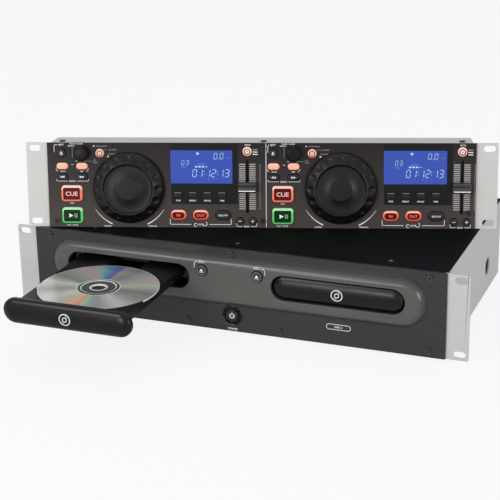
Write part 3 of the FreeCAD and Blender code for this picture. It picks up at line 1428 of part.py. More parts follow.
def make_jog_wheel(name, side):
    """Jog wheel: sloping band with finger dimples, raised rim, dished centre and shaft."""
    body = new_body(f"jog_wheel_{name}")
    shaft_end = encoder_bottom - s.run_gap
    revolve(body, (
        (-s.wheel_dish_high, 0), (-s.wheel_dish_high, s.wheel_hub_radius),
        (-s.wheel_dish_high, s.wheel_rim_radius - s.wheel_rim_thick),
        (-s.wheel_rim_high, s.wheel_rim_radius),
        (-s.wheel_rim_high, s.wheel_rim_radius + s.wheel_rim_thick),
        (-s.wheel_shoulder_high, s.wheel_shoulder), (-s.wheel_edge, s.wheel_radius),
        (-s.wheel_gap, s.wheel_radius), (-s.wheel_gap, s.shaft_radius),
        (shaft_end, s.shaft_radius), (shaft_end, 0)))
    sketch = front_sketch(body, -s.wheel_rim_high)
    draw_circle(sketch, s.dimple_ring, 0, s.dimple_radius)
    dimple = pocket(body, sketch, s.dimple_depth)
    ring = body.newObject("PartDesign::PolarPattern", "dimples")
    ring.Originals = [dimple]
    ring.Axis = (sketch, ["N_Axis"])
    ring.Angle = 360
    ring.Occurrences = int(s.dimple_count.value)
    body.Tip = ring
    seat(body, deck_middle(side) + s.wheel_across, 0, s.wheel_up)


def make_track_knob(name, side):
    """Round knob on its encoder shaft."""
    body = new_body(f"track_knob_{name}")
    shaft_end = encoder_bottom - s.run_gap
    edge = s.knob_round
    revolve(body, (
        (-s.knob_high, 0), (-s.knob_high, s.knob_radius - edge),
        (-s.knob_high + edge, s.knob_radius), (-s.wheel_gap, s.knob_radius),
        (-s.wheel_gap, s.shaft_radius), (shaft_end, s.shaft_radius), (shaft_end, 0)))
    seat(body, deck_middle(side) + s.knob_across, 0, s.knob_up)


def make_pitch_fader(name, side):
    """Fader cap with a finger hollow, on the flat lever that runs in the slot."""
    body = new_body(f"pitch_fader_{name}")
    sketch = sketch_on(body, "YZ_Plane", -s.cap_half)
    front, waist = -s.cap_high, -s.cap_high + s.cap_waist
    shoulder = s.cap_half_high - s.cap_waist
    draw_loop(sketch, (
        (-s.cap_gap, -s.cap_half_high), (-s.cap_gap, s.cap_half_high), (waist, s.cap_half_high),
        (front, shoulder), (waist, 0), (front, -shoulder), (waist, -s.cap_half_high)))
    pad(body, sketch, 2 * s.cap_half)
    reach = s.control_board_back - s.track_floor - s.run_gap
    sketch = front_sketch(body, reach)
    draw_rectangle(sketch, (-s.lever_half, s.lever_half), (-s.lever_half_high, s.lever_half_high))
    pad(body, sketch, reach + s.cap_gap)
    seat(body, deck_middle(side) + s.fader_across, 0, s.fader_up)


# ---------------------------------------------------------------- build and write

tray_out = {LEFT: -s.tray_travel, RIGHT: size_of(0)}

make_base_pan()
make_top_cover()
make_drive_fascia()
make_rubber_feet()
make_drive_screws()
loader_solids = []
for name, side in DECKS:
    make_side_bracket(name, side)
    loader_solids += make_loader(side)
node("loader_frames", group(*loader_solids))
make_main_board()
make_transformer()
make_rear_sockets()
for name, side in DECKS:
    make_tray(name, side, tray_out[side])
    make_tray_door(name, side, tray_out[side])
    make_loading_gear(name, side, tray_out[side])
    make_spindle(name, side)
    make_pickup(name, side)
    make_drive_button(f"open_button_{name}", side * s.open_across, s.open_up, s.open_radius,
                      platform_front - s.open_proud)
make_disc(LEFT, tray_out[LEFT])
make_drive_button("power_button", size_of(0), s.power_up, s.power_radius,
                  fascia_front - s.power_proud)
make_control_panel()
make_control_case()
make_control_ears()
make_control_board()
make_displays()
make_panel_controls()
make_control_screws()
for name, side in DECKS:
    make_jog_wheel(name, side)
    make_track_knob(name, side)
    make_pitch_fader(name, side)
    for key in KEYS:
        make_key(name, side, *key)

doc.recompute()
faults = [f"{thing.Name} ({thing.Label}): {', '.join(thing.State)}" for thing in doc.Objects
          if "Invalid" in thing.State or "Error" in thing.State]
for thing in nodes:
    if thing.Shape.isNull() or not thing.Shape.isValid():
        faults.append(f"{thing.Label}: no valid shape")
if faults:
    raise SystemExit("\n".join(faults))

os.makedirs("parts", exist_ok=True)
for thing in nodes:
    thing.Shape.exportStep(f"parts/{thing.Label}.step")
    print(f"{thing.Label}: {len(thing.Shape.Solids)} solids, {thing.Shape.Volume:.0f} mm3")
print(f"{len(nodes)} nodes")
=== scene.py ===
# %% [markdown]
# # A twin disc player, dressed
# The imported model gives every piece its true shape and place.  This lesson gives the pieces their
# finish: satin sheet metal, moulded fascia, lit keys, jog wheels, displays and a mirror-bright
# disc.  Everything is in metres, in the frame of the drive unit's rack slots.

# %% Load the frame
import bmesh
import bpy
import json
import math
from mathutils import Matrix, Vector


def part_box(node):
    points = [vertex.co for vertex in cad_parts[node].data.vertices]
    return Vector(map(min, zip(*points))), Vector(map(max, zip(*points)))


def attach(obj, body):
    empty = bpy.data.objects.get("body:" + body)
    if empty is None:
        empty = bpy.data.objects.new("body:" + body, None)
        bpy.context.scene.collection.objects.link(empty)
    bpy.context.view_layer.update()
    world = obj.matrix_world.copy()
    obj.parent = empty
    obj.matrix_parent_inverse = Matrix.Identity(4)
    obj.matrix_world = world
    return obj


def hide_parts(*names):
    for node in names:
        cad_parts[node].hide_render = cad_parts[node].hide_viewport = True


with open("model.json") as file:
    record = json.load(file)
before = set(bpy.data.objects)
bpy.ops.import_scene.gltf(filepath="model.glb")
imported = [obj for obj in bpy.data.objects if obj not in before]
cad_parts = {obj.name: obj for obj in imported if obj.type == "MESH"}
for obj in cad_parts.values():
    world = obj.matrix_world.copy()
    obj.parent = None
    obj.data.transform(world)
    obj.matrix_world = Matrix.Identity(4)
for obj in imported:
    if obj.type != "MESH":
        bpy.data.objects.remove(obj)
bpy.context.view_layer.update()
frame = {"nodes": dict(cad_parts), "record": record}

nodes = frame["nodes"]
scene = bpy.context.scene


def new_object(name, data):
    """An object in the scene with the given mesh, curve, camera or light."""
    thing = bpy.data.objects.new(name, data)
    scene.collection.objects.link(thing)
    return thing


# %% [markdown]
# ## Where the control unit stands
# The control unit is laid out flat, in millimetres: x to the right, y into the unit, z up from the
# panel's bottom edge.  One matrix then leans it back and turns it on the drive unit's cover, so
# every print, key and screw is placed with the plain numbers of a panel drawing.  The unit stands
# on the slanted underside of its case, so the slope of that underside is its lean.

# %% The seat matrix
MM = 0.001
SEAT_PLACE = Vector((5.5, 63.6, 44.25))
SEAT_TURN = math.radians(17)
HEEL_LIFT, HEEL_RUN = 5.8, 42.5
WING_REAR = 3.5
lean = math.atan(HEEL_LIFT / HEEL_RUN)
seat_place = SEAT_PLACE + Vector((0, 0, WING_REAR * math.sin(lean)))
SEAT = (Matrix.Scale(MM, 4) @ Matrix.Translation(seat_place)
        @ Matrix.Rotation(SEAT_TURN, 4, "Z") @ Matrix.Rotation(-lean, 4, "X"))
FLAT = Matrix.Scale(MM, 4)
print("lean", round(math.degrees(lean), 2), "degrees")

# %% [markdown]
# ## Camera
# The camera stands 20 degrees above the horizon and 21 degrees to the right, a metre and a half
# away, with a long lens, as a product photographer would choose to keep the fronts square.

# %% The camera
AZIMUTH, ELEVATION, ROLL = (math.radians(angle) for angle in (21.40, 20.02, -1.11))
DISTANCE, NEAREST = 1.4566, 0.05
TARGET = Vector((0.02024, -0.00392, 0.0456))
SENSOR = 36.0
FOCAL_PIXELS, PICTURE_PIXELS = 1477.2, 500
LENS = SENSOR * FOCAL_PIXELS / PICTURE_PIXELS
back = Vector((math.sin(AZIMUTH) * math.cos(ELEVATION), -math.cos(AZIMUTH) * math.cos(ELEVATION),
               math.sin(ELEVATION)))
level = (-back).cross(Vector((0, 0, 1))).normalized()
upright = level.cross(-back)
right = level * math.cos(ROLL) + upright * math.sin(ROLL)
above = upright * math.cos(ROLL) - level * math.sin(ROLL)
camera = new_object("camera", bpy.data.cameras.new("camera"))
camera.data.sensor_width = SENSOR
camera.data.lens = LENS
camera.data.clip_start = NEAREST
camera.matrix_world = Matrix.Translation(TARGET + back * DISTANCE) @ Matrix(
    (right, above, back)).transposed().to_4x4()
scene.camera = camera
scene.view_settings.view_transform = "Standard"
print("lens", round(LENS, 1), "mm")

# %% [markdown]
# ## Node trees as sums
# Materials, the sky and Geometry Nodes are all trees of nodes, and their maths reads best as plain
# sums.  `Wire` wraps one socket and overloads the operators, each of which adds a Math node.

# %% Wires
class Wire:
    """One output socket, ready for sums."""

    def __init__(self, graph, socket):
        self.graph = graph
        self.socket = socket

    def __add__(self, other):
        return self.graph.maths("ADD", self, other)

    def __sub__(self, other):
        return self.graph.maths("SUBTRACT", self, other)

    def __rsub__(self, other):
        return self.graph.maths("SUBTRACT", other, self)

    def __mul__(self, other):
        return self.graph.maths("MULTIPLY", self, other)

    def __truediv__(self, other):
        return self.graph.maths("DIVIDE", self, other)

    def __rtruediv__(self, other):
        return self.graph.maths("DIVIDE", other, self)

    def __gt__(self, other):
        return self.graph.maths("GREATER_THAN", self, other)

    def __lt__(self, other):
        return self.graph.maths("LESS_THAN", self, other)

    __radd__, __rmul__ = __add__, __mul__


print("sums with wires ready")

# %% [markdown]
# ## Trees
# `Graph` holds a tree.  Its method `node` adds any node, given its settings, which can change what
# sockets it has and so go first, and then the values or wires of its sockets.

# %% Graphs
class Graph:
    """A tree of nodes being made."""

    def __init__(self, tree):
        self.tree = tree
        tree.nodes.clear()

    def node(self, kind, settings, values, output=0):
        """Add a node; a list of wires goes to one socket that takes several.  A ramp's colours
        are its stops."""
        made = self.tree.nodes.new(kind)
        for name, value in settings.items():
            if name == "stops":
                elements = made.color_ramp.elements
                while len(elements) > 1:
                    elements.remove(elements[-1])
                elements[0].position, elements[0].color = value[0]
                for position, colour in value[1:]:
                    elements.new(position).color = colour
            else:
                setattr(made, name, value)
        for name, value in values.items():
            for single in value if isinstance(value, list) else [value]:
                if isinstance(single, Wire):
                    self.tree.links.new(single.socket, made.inputs[name])
                else:
                    made.inputs[name].default_value = single
        return Wire(self, made.outputs[output]) if made.outputs else None

    def maths(self, operation, *values):
        return self.node("ShaderNodeMath", {"operation": operation}, dict(enumerate(values)))

    def axis(self, place, number):
        """One coordinate of a place: 0 for x, 1 for y, 2 for z."""
        return self.node("ShaderNodeSeparateXYZ", {}, {0: place}, number)

    def share(self, value, low, high, **settings):
        """How far a value has come from low to high, from 0 to 1."""
        return self.node("ShaderNodeMapRange", settings, {
            "Value": value, "From Min": low, "From Max": high})


print("graphs ready")

# %% [markdown]
# ## Materials
# A material is one such tree, from the object's own coordinates to a surface.  Its colours are
# written as they show on a screen, from 0 to 255, and turned into the renderer's linear light.

# %% Finish
def linear(red, green, blue):
    """A colour given as screen values from 0 to 255, as the renderer wants it."""
    def channel(value):
        value /= 255
        return value / 12.92 if value <= 0.04045 else ((value + 0.055) / 1.055) ** 2.4
    return (channel(red), channel(green), channel(blue), 1.0)


def scaled(colour, factor):
    """A lighter or darker colour."""
    return tuple(min(channel * factor, 1.0) for channel in colour[:3]) + (1.0,)


class Finish(Graph):
    """The tree of a material."""

    def __init__(self, name):
        self.material = bpy.data.materials.new(name)
        self.material.use_nodes = True
        super().__init__(self.material.node_tree)
        self.place = self.node("ShaderNodeTexCoord", {}, {}, "Object")

    def noise(self, scale, detail=2.0, place=None):
        return self.node("ShaderNodeTexNoise", {}, {
            "Vector": place or self.place, "Scale": scale, "Detail": detail})

    def mapped(self, stretch=(1, 1, 1), shift=(0, 0, 0)):
        return self.node("ShaderNodeMapping", {}, {
            "Vector": self.place, "Scale": stretch, "Location": shift})

    def blend(self, share, first, second):
        """A colour between two, by a share from 0 to 1."""
        return self.node("ShaderNodeMix", {"data_type": "RGBA"}, {0: share, 6: first, 7: second}, 2)

    def relief(self, height, distance):
        return self.node("ShaderNodeBump", {}, {"Height": height, "Distance": distance})

    def show(self, surface):
        self.node("ShaderNodeOutputMaterial", {}, {"Surface": surface})
        return self.material

    def close(self, colour, roughness, **others):
        """The surface shader; others are its sockets, with underscores for spaces."""
        values = {"Base Color": colour, "Roughness": roughness}
        values.update({name.replace("_", " "): value for name, value in others.items()})
        return self.show(self.node("ShaderNodeBsdfPrincipled", {}, values))


print("middle grey is", round(linear(128, 128, 128)[0], 3), "in linear light")

# %% [markdown]
# ## Finishes of sheet metal and mouldings
# Painted metal is never perfectly flat: the paint has a fine orange peel, and hands and dust leave
# it slightly uneven.  A moulding takes the spark-eroded texture of its tool instead.  One recipe
# serves both: a base colour that drifts a little, a roughness that drifts with it, and a fine
# relief.

# %% Coated finishes
SLOW_SHARE = 0.7
GLOSS_DRIFT, GLOSS_GRAIN = 0.14, 0.1
SATIN = {"Specular_IOR_Level": 0.3}
HALF_SATIN = {"Specular_IOR_Level": 0.22}
DULL = {"Specular_IOR_Level": 0.15}
MATT = {"Specular_IOR_Level": 0.05}


def coated(name, colour, roughness, grain=1800, depth=0.00002, drift=0.12, **others):
    """A plain finish: slow drift of tone, fine grain, slightly uneven gloss."""
    finish = Finish(name)
    slow = finish.noise(28, 3.0)
    fine = finish.noise(grain)
    colour = linear(*colour)
    tone = finish.blend(slow * SLOW_SHARE + fine * (1 - SLOW_SHARE), scaled(colour, 1 - drift),
                        scaled(colour, 1 + drift))
    gloss = roughness + (slow - 0.5) * GLOSS_DRIFT + (fine - 0.5) * GLOSS_GRAIN
    return finish.close(tone, gloss, Normal=finish.relief(fine, depth), **others)


ear_finish = coated("satin_grey_paint", (173, 173, 174), 0.42, 1500, 0.000012, 0.03)
wing_finish = coated("light_grey_paint", (182, 180, 178), 0.45, 1500, 0.000012, 0.03)
cover_finish = coated("black_cover_paint", (9, 12, 11), 0.6, 2200, 0.00004, 0.25, **MATT)
case_finish = coated("warm_grey_paint", (178, 172, 165), 0.5, 1800, 0.00003, 0.04)
screw_finish = coated("black_oxide", (58, 58, 58), 0.35, 3000, 0.00001, 0.2, Metallic=0.5)
rubber_finish = coated("black_rubber", (28, 28, 28), 0.8, 1200, 0.00005)
# Painted glints for the crosses on the cover's screws:
bright_steel = coated("bright_steel", (190, 190, 188), 0.3, 3000, 0.00001, 0.1, Metallic=0.5)
zinc_finish = coated("zinc_sheet", (176, 178, 178), 0.35, 400, 0.00001, 0.1, Metallic=1.0)
loader_finish = coated("loader_moulding", (24, 24, 25), 0.5, 1600, 0.00003, **SATIN)
board_finish = coated("solder_resist", (18, 78, 44), 0.35, 900, 0.00002, 0.2)
core_finish = coated("core_laminations", (96, 96, 98), 0.5, 700, 0.00003, 0.15, Metallic=0.4)
socket_finish = coated("socket_moulding", (24, 24, 25), 0.45)
gear_finish = coated("white_nylon", (228, 226, 216), 0.4, 1500, 0.00001, 0.03)
turntable_finish = coated("turntable_moulding", (36, 36, 37), 0.45, 1400, 0.00003)
tray_finish = coated("tray_moulding", (15, 15, 15), 0.36, 2000, 0.00003, 0.15, **DULL)
wheel_finish = coated("wheel_moulding", (12, 11, 11), 0.36, 2400, 0.00003, 0.15, **HALF_SATIN)
knob_finish = coated("knob_moulding", (10, 10, 12), 0.35, 2000, 0.00002, 0.15, **DULL)
fader_finish = coated("fader_moulding", (46, 45, 47), 0.4, 2000, 0.00002, 0.15)
switch_finish = coated("switch_moulding", (34, 34, 35), 0.5, 1600)
key_black = coated("black_key_rubber", (20, 20, 21), 0.4, 2200, 0.00002, 0.1, **SATIN)
gloss_black = coated("gloss_black", (6, 6, 6), 0.18, 900, 0.000004, 0.1)
key_grey = coated("grey_key_rubber", (30, 29, 29), 0.45, 2200, 0.00002, 0.08, **DULL)
print(len(bpy.data.materials), "materials so far")

# %% [markdown]
# ## The fascia and the tray doors
# The fascia has a dark coat, rolled on level, which leaves faint streaks along it; the raised
# racetrack and the slope up to it are a little paler than the plate round it.  The doors are plain
# black mouldings.
# Both take their shape from their mesh, so their finish only adds tone, streaks and a fine grain.

# %% Fascia and door finishes
TRACK_DEPTH, PLATE_DEPTH = -0.0100, -0.0045
STREAK_STRETCH, STREAK_SHARE = (9.0, 700.0, 700.0), 0.55


def brushed_charcoal():
    """Dark and streaked on the plate, a little paler on the raised racetrack and up its slope."""
    finish = Finish("fascia_charcoal")
    raised = finish.share(finish.axis(finish.place, 1), PLATE_DEPTH, TRACK_DEPTH)
    streak = finish.noise(1.0, 3.0, finish.mapped(stretch=STREAK_STRETCH))
    fine = finish.noise(2600)
    share = streak * STREAK_SHARE + finish.noise(14) * (1 - STREAK_SHARE)
    plate = finish.blend(share, linear(29, 29, 28), linear(50, 50, 48))
    track = finish.blend(share, linear(62, 62, 60), linear(86, 86, 83))
    gloss = 0.23 + (streak - 0.5) * 0.08 + (fine - 0.5) * 0.05
    return finish.close(finish.blend(raised, plate, track), gloss,
                        Normal=finish.relief(fine + streak * 0.6, 0.00002), **SATIN)


fascia_finish = brushed_charcoal()
door_finish = coated("door_moulding", (9, 10, 9), 0.27, 2600, 0.000004, 0.2,
                     Specular_IOR_Level=0.2)
print(fascia_finish.name, door_finish.name)

# %% [markdown]
# ## The control panel
# The panel's black coat is drawn warmer and a little paler towards its lower edge, a painted
# reflection.  The drift follows the panel's own height, worked out from the object's coordinates
# by the same lean as the seat.

# %% Panel finish
PANEL_TOP = 88.0


def height_up(finish):
    """Height above the control panel's bottom edge, in millimetres, as a wire."""
    row = SEAT.inverted()[2]
    return finish.node("ShaderNodeVectorMath", {"operation": "DOT_PRODUCT"}, {
        0: finish.place, 1: tuple(row[:3])}, 1) + row[3]


def panel_coat_and_painted_reflection():
    finish = Finish("control_panel_coat")
    share = finish.share(height_up(finish), PANEL_TOP, 0.0)
    fine = finish.noise(2400)
    # The tone that grows paler and warmer towards the lower edge is a painted reflection.
    tone = finish.blend(share * 0.85 + fine * 0.15, linear(20, 16, 15), linear(66, 58, 57))
    return finish.close(tone, 0.42 + (fine - 0.5) * 0.12, Normal=finish.relief(fine, 0.00002),
                        **DULL)


panel_finish = panel_coat_and_painted_reflection()
print(panel_finish.name)

# %% [markdown]
# ## Lit keys, print and glass
# A lit key is a translucent moulding with a lamp behind it.  Part of its colour is its own light
# and the rest is paint, so that the two together show the colour as it is written.  A ring is
# painted palest at its top, a painted highlight that also glows, and deepest at its foot, painted
# shade, so its colour runs with the height above the key's middle.

# %% Recipes for lit finishes
BLACK = (0.0, 0.0, 0.0, 1.0)
CLOUD, CLOUD_SHADE = 900, 0.88
CLOUD_GLOSS, CLOUD_CLIMB = 0.05, 0.04


def glowing(finish, tone, glow, gloss, specular):
    """Close a lit surface: a share of its tone is its own light and the rest is paint."""
    return finish.close(finish.blend(glow, tone, BLACK), gloss, Emission_Color=tone,
                        Emission_Strength=glow, Specular_IOR_Level=specular)


def lit(name, colour, glow, roughness=0.4):
    finish = Finish(name)
    cloud = finish.noise(CLOUD)
    colour = linear(*colour)
    tone = finish.blend(cloud, scaled(colour, CLOUD_SHADE), colour)
    return glowing(finish, tone, glow, roughness + cloud * CLOUD_GLOSS, 0.12)


def lit_ring(name, middle, half, foot, body, crown, glow=0.7):
    """A ring round a key at a given height, with painted shade at its foot and a painted highlight
    at its crown.
    """
    finish = Finish(name)
    climb = (height_up(finish) - middle) / (2 * half) + 0.5
    cloud = finish.noise(CLOUD)
    # The last, palest stop is a painted highlight on the ring's top; the first, deepest one is
    # painted shade at its foot.
    stops = ((0.0, foot), (0.3, body), (0.72, body), (0.93, crown))
    tone = finish.node("ShaderNodeValToRGB", {
        "stops": [(place, linear(*colour)) for place, colour in stops]},
        {"Fac": climb + cloud * CLOUD_CLIMB})
    return glowing(finish, tone, glow, 0.32 + cloud * CLOUD_GLOSS, 0.3)


print("recipes for lit finishes ready")

# %% [markdown]
# ## The lit colours
# Each ring is told how high its keys' middle stands on the panel and how far it reaches from there.
# The mode and pitch keys share one ring finish, at their mean height.  Ink glows a little
# as well, so that thin print stays readable in the shade.

# %% Lit and printed finishes
CUE_UP, PLAY_UP, CUE_HALF = 35.5, 12.5, 8.0
LOOP_UP, LOOP_RADIUS = 13.2, 4.9
LAMP_UP, LAMP_RADIUS = 78.3, 4.5
SKIP_UP, SKIP_RADIUS = 63.8, 3.1
ink = lit("white_ink", (226, 226, 226), 0.25, 0.6)
faint_ink = lit("grey_ink", (148, 146, 144), 0.1, 0.6)
# In each ring below, the crown colour is a painted highlight and the foot colour painted shade.
red_ring = lit_ring("red_ring", CUE_UP, CUE_HALF, (226, 104, 74), (242, 126, 104),
                    (255, 206, 190))
loop_ring = lit_ring("loop_ring", LOOP_UP, LOOP_RADIUS, (196, 66, 46), (236, 104, 80),
                     (255, 190, 172))
green_ring = lit_ring("green_ring", PLAY_UP, CUE_HALF, (70, 176, 88), (88, 196, 104),
                      (170, 236, 174))
lamp_ring = lit_ring("lamp_ring", LAMP_UP, LAMP_RADIUS, (206, 112, 86), (238, 186, 168),
                     (250, 222, 212))
peach = lit_ring("peach_key", SKIP_UP, SKIP_RADIUS, (240, 150, 118), (255, 178, 150),
                 (255, 200, 178), 0.6)
red_heart = lit("red_heart", (84, 4, 6), 0.5, 0.3)
red_words = lit("red_words", (244, 200, 190), 0.6)
loop_words = lit("loop_words", (242, 124, 100), 0.6)
green_heart = lit("green_heart", (4, 38, 15), 0.5, 0.3)
green_words = lit("green_words", (226, 246, 226), 0.6)
green_bars = lit("green_bars", (112, 176, 118), 0.5)
lamp_white = lit("lamp_white", (252, 236, 230), 0.7)
lamp_red = lit("lamp_red", (150, 44, 30), 0.6)
lamp_dot = lit("lamp_dot", (92, 48, 40), 0.3)
glass_blue = lit("display_blue", (60, 86, 180), 0.75, 0.2)
glass_words = lit("display_segments", (196, 222, 246), 0.8, 0.3)
glass_dim = lit("display_small_print", (120, 150, 216), 0.7, 0.3)
glass_edge = coated("display_surround", (10, 10, 12), 0.25, 1500, 0.000005, **SATIN)
# Painted shade for the recess of a screw's cross:
slot_dark = coated("slot_dark", (8, 8, 8), 0.7, 1500, 0.000005, **DULL)
block_finish = coated("black_block", (13, 11, 11), 0.4, 2400, 0.00001, 0.1, **DULL)
scale_ink = coated("scale_ink", (150, 147, 144), 0.6, 1500, 0.000005)
cap_line = coated("cap_line", (238, 238, 240), 0.4, 1500, 0.000005)
print(len(bpy.data.materials), "materials so far")

# %% [markdown]
# ## The disc
# A disc's fine tracks split light into bands of colour that stand out like spokes.  The bands are
# painted here as soft spokes round the disc's own centre over bright silver, so they stay with the
# disc as it rides on its tray.  A real disc scatters the whole room's light into silver, so the
# silver and the spokes are a painted reflection; a plain mirror would only show the dark fascia
# above it, so the surface is only partly metal.  Thin white rings along its edges are painted
# highlights.

# %% Disc finish
disc_low, disc_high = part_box("compact_disc")
disc_centre = (disc_low + disc_high) / 2
GREY, PALE, DEEP = (168, 170, 166), (220, 221, 217), (138, 140, 137)
SPOKES = ((0.0, PALE), (0.06, GREY), (0.13, PALE), (0.19, (206, 204, 186)),
          (0.225, (232, 196, 168)), (0.25, (226, 166, 150)), (0.265, (180, 206, 176)),
          (0.29, (150, 190, 184)), (0.32, GREY), (0.38, PALE), (0.44, GREY), (0.50, DEEP),
          (0.56, (190, 202, 182)), (0.60, (196, 176, 166)), (0.64, GREY), (0.70, DEEP),
          (0.735, (176, 152, 166)), (0.755, (96, 100, 176)), (0.785, (92, 150, 186)),
          (0.81, (140, 186, 178)), (0.84, (190, 164, 160)), (0.88, GREY), (0.95, DEEP),
          (1.0, PALE))
HOLE_EDGE, SEAM, HUB_EDGE = 0.0092, (0.0168, 0.0180), (0.0208, 0.0219)
HUB, RIM = 0.0215, 0.0593


def disc_coat():
    finish = Finish("mirror_disc")
    place = finish.mapped(shift=(-disc_centre.x, -disc_centre.y, 0))
    x, y = finish.axis(place, 0), finish.axis(place, 1)
    angle = finish.maths("ARCTAN2", y, x) / math.tau + 0.5
    reach = finish.maths("SQRT", x * x + y * y)
    spokes = finish.node("ShaderNodeValToRGB", {
        "stops": [(share, linear(*colour)) for share, colour in SPOKES]}, {"Fac": angle})
    rings = finish.node("ShaderNodeTexNoise", {"noise_dimensions": "1D"}, {
        "W": reach, "Scale": 900.0, "Detail": 2.0})
    tone = finish.blend(rings * 0.1, spokes, linear(150, 152, 150))
    hub = reach < HUB
    tone = finish.blend(hub, tone, linear(74, 74, 74))
    # The thin white rings at the seam, the hub's edge, the hole's edge and the rim are painted
    # highlights.
    painted_edge_highlights = (reach > SEAM[0]) * (reach < SEAM[1]) + (reach > HUB_EDGE[0]) * (reach < HUB_EDGE[1])
    painted_edge_highlights = finish.maths("MINIMUM", painted_edge_highlights + (reach < HOLE_EDGE) + (reach > RIM), 1.0)
    tone = finish.blend(painted_edge_highlights, tone, linear(226, 226, 226))
    return finish.close(tone, 0.2 + hub * 0.1 + rings * 0.04, Metallic=0.25 - hub * 0.2,
                        Specular_IOR_Level=0.5, Coat_Weight=0.3)


disc_finish = disc_coat()
print("disc centre", tuple(round(value, 4) for value in disc_centre))

# %% [markdown]
# ## Hidden and plain nodes
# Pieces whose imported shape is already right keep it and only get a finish.

# %% Finishes of carried-over nodes
CARRIED = {
    "base_pan": zinc_finish, "rubber_feet": rubber_finish, "loader_frames": loader_finish,
    "main_board": board_finish, "power_transformer": core_finish, "rear_sockets": socket_finish,
    "control_board": board_finish, "panel_controls": switch_finish, "displays": glass_edge,
    "compact_disc": disc_finish, "control_screws": key_black, "drive_screws": screw_finish,
}
for name in ("left", "right"):
    CARRIED.update({f"spindle_{name}": turntable_finish, f"pickup_{name}": socket_finish,
                    f"loading_gear_{name}": gear_finish})
for name, finish in CARRIED.items():
    nodes[name].material_slots[0].material = finish
print(len(CARRIED), "nodes carried over")

# %% [markdown]
# ## The racetrack's shoulder
# The fascia rises to its racetrack over a long slope with a soft crest.  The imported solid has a
# plain quarter-round there, whose rings of points are just what the slope needs: each ring is
# moved onto a curve drawn by four points, given by their distance from the racetrack's spine.

# %% Slope of the shoulder
TRACK_SPINE, TRACK_UP, TRACK_RADIUS, TRACK_ROUND = 174.5, 10.35, 26.0, 5.8
TRACK_FRONT = -10.0
SHOULDER = (Vector((17.2, -10.0)), Vector((19.8, -10.0)), Vector((21.4, -8.7)),
            Vector((26.0, -4.2)))
SLACK = 0.01
HALVINGS = 20


def cubic(points, share):
    """A point on the cubic curve that four points draw."""
    rest = 1 - share
    weights = (rest ** 3, 3 * rest * rest * share, 3 * rest * share * share, share ** 3)
    return sum((point * weight for point, weight in zip(points, weights)), Vector((0, 0)))


def from_spine(x, z):
    """The way from the racetrack's spine to a place on the fascia, in millimetres."""
    near = max(-TRACK_SPINE, min(TRACK_SPINE, x))
    return Vector((x - near, z - TRACK_UP)), near


def slope_shoulder(work):
    inner = TRACK_RADIUS - TRACK_ROUND
    for vert in work.verts:
        x, depth, z = vert.co / MM
        way, near = from_spine(x, z)
        if way.length > inner - SLACK and depth < TRACK_FRONT + TRACK_ROUND + SLACK:
            turn = math.atan2(way.length - inner, TRACK_FRONT + TRACK_ROUND - depth)
            reach, depth = cubic(SHOULDER, turn / (math.pi / 2))
            way = way.normalized() * reach
            vert.co = Vector((near + way.x, depth, TRACK_UP + way.y)) * MM


def shoulder_drop(x, z):
    """How far the fascia lies behind the racetrack's flat front at a place."""
    reach = from_spine(x, z)[0].length
    low, high = 0.0, 1.0
    for _ in range(HALVINGS):
        share = (low + high) / 2
        if cubic(SHOULDER, share).x < reach:
            low = share
        else:
            high = share
    return cubic(SHOULDER, low).y - TRACK_FRONT if reach > SHOULDER[0].x else 0.0


print("drop of the fascia under the word OPEN", round(shoulder_drop(29.5, 29.4), 2), "mm")

# %% [markdown]
# ## Softened edges
# Bent sheet and moulded plastic have no knife edges.  A node's mesh is copied, its loose triangles
# are merged into whole faces, and a narrow bevel catches the light along every sharp edge.  First
# come the helpers that every later piece goes through, from a drawn mesh to a piece on its body.

# %% Meshes and pieces
BODY_OF = {node: body for body, members in frame["record"]["behaviour"]["bodies"].items()
           for node in members}
MERGE = 0.000004
SHARP_FROM, ROUND_SHARP_FROM = 32, 50


def merged(node):
    """A node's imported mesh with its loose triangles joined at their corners."""
    work = bmesh.new()
    work.from_mesh(nodes[node].data)
    bmesh.ops.remove_doubles(work, verts=work.verts, dist=MERGE)
    return work


def settled(work, name):
    """The mesh of a bmesh, which is given up."""
    mesh = bpy.data.meshes.new(name)
    work.to_mesh(mesh)
    work.free()
    return mesh


def plain_mesh(thing):
    """The thing's evaluated mesh; the thing itself is dropped."""
    graph = bpy.context.evaluated_depsgraph_get()
    mesh = bpy.data.meshes.new_from_object(thing.evaluated_get(graph), depsgraph=graph)
    bpy.data.objects.remove(thing)
    return mesh


def smooth(mesh, angle=SHARP_FROM):
    mesh.shade_smooth()
    mesh.set_sharp_from_angle(angle=math.radians(angle))
    return mesh


def add_piece(name, mesh, body, stands_for=()):
    """A finished piece, riding on its body."""
    piece = new_object(name, mesh)
    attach(piece, body)
    if stands_for:
        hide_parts(*stands_for)
    return piece


# %% Softened copies
FLAT_WITHIN, BEVEL_FROM = 0.5, 40


def soften(node, finish, width, reshape=None):
    """A copy of a node with merged faces and narrow bevels."""
    work = merged(node)
    bmesh.ops.dissolve_limit(work, angle_limit=math.radians(FLAT_WITHIN), verts=work.verts,
                             edges=work.edges)
    if reshape:
        reshape(work)
    thing = new_object(f"{node}_work", smooth(settled(work, node)))
    bevel = thing.modifiers.new("edges", "BEVEL")
    bevel.width = width
    bevel.segments = 2
    bevel.limit_method = "ANGLE"
    bevel.angle_limit = math.radians(BEVEL_FROM)
    bevel.use_clamp_overlap = False
    bevel.harden_normals = True
    mesh = plain_mesh(thing)
    mesh.materials.clear()
    mesh.materials.append(finish)
    return add_piece(f"{node}_skin", mesh, BODY_OF[node], (node,))


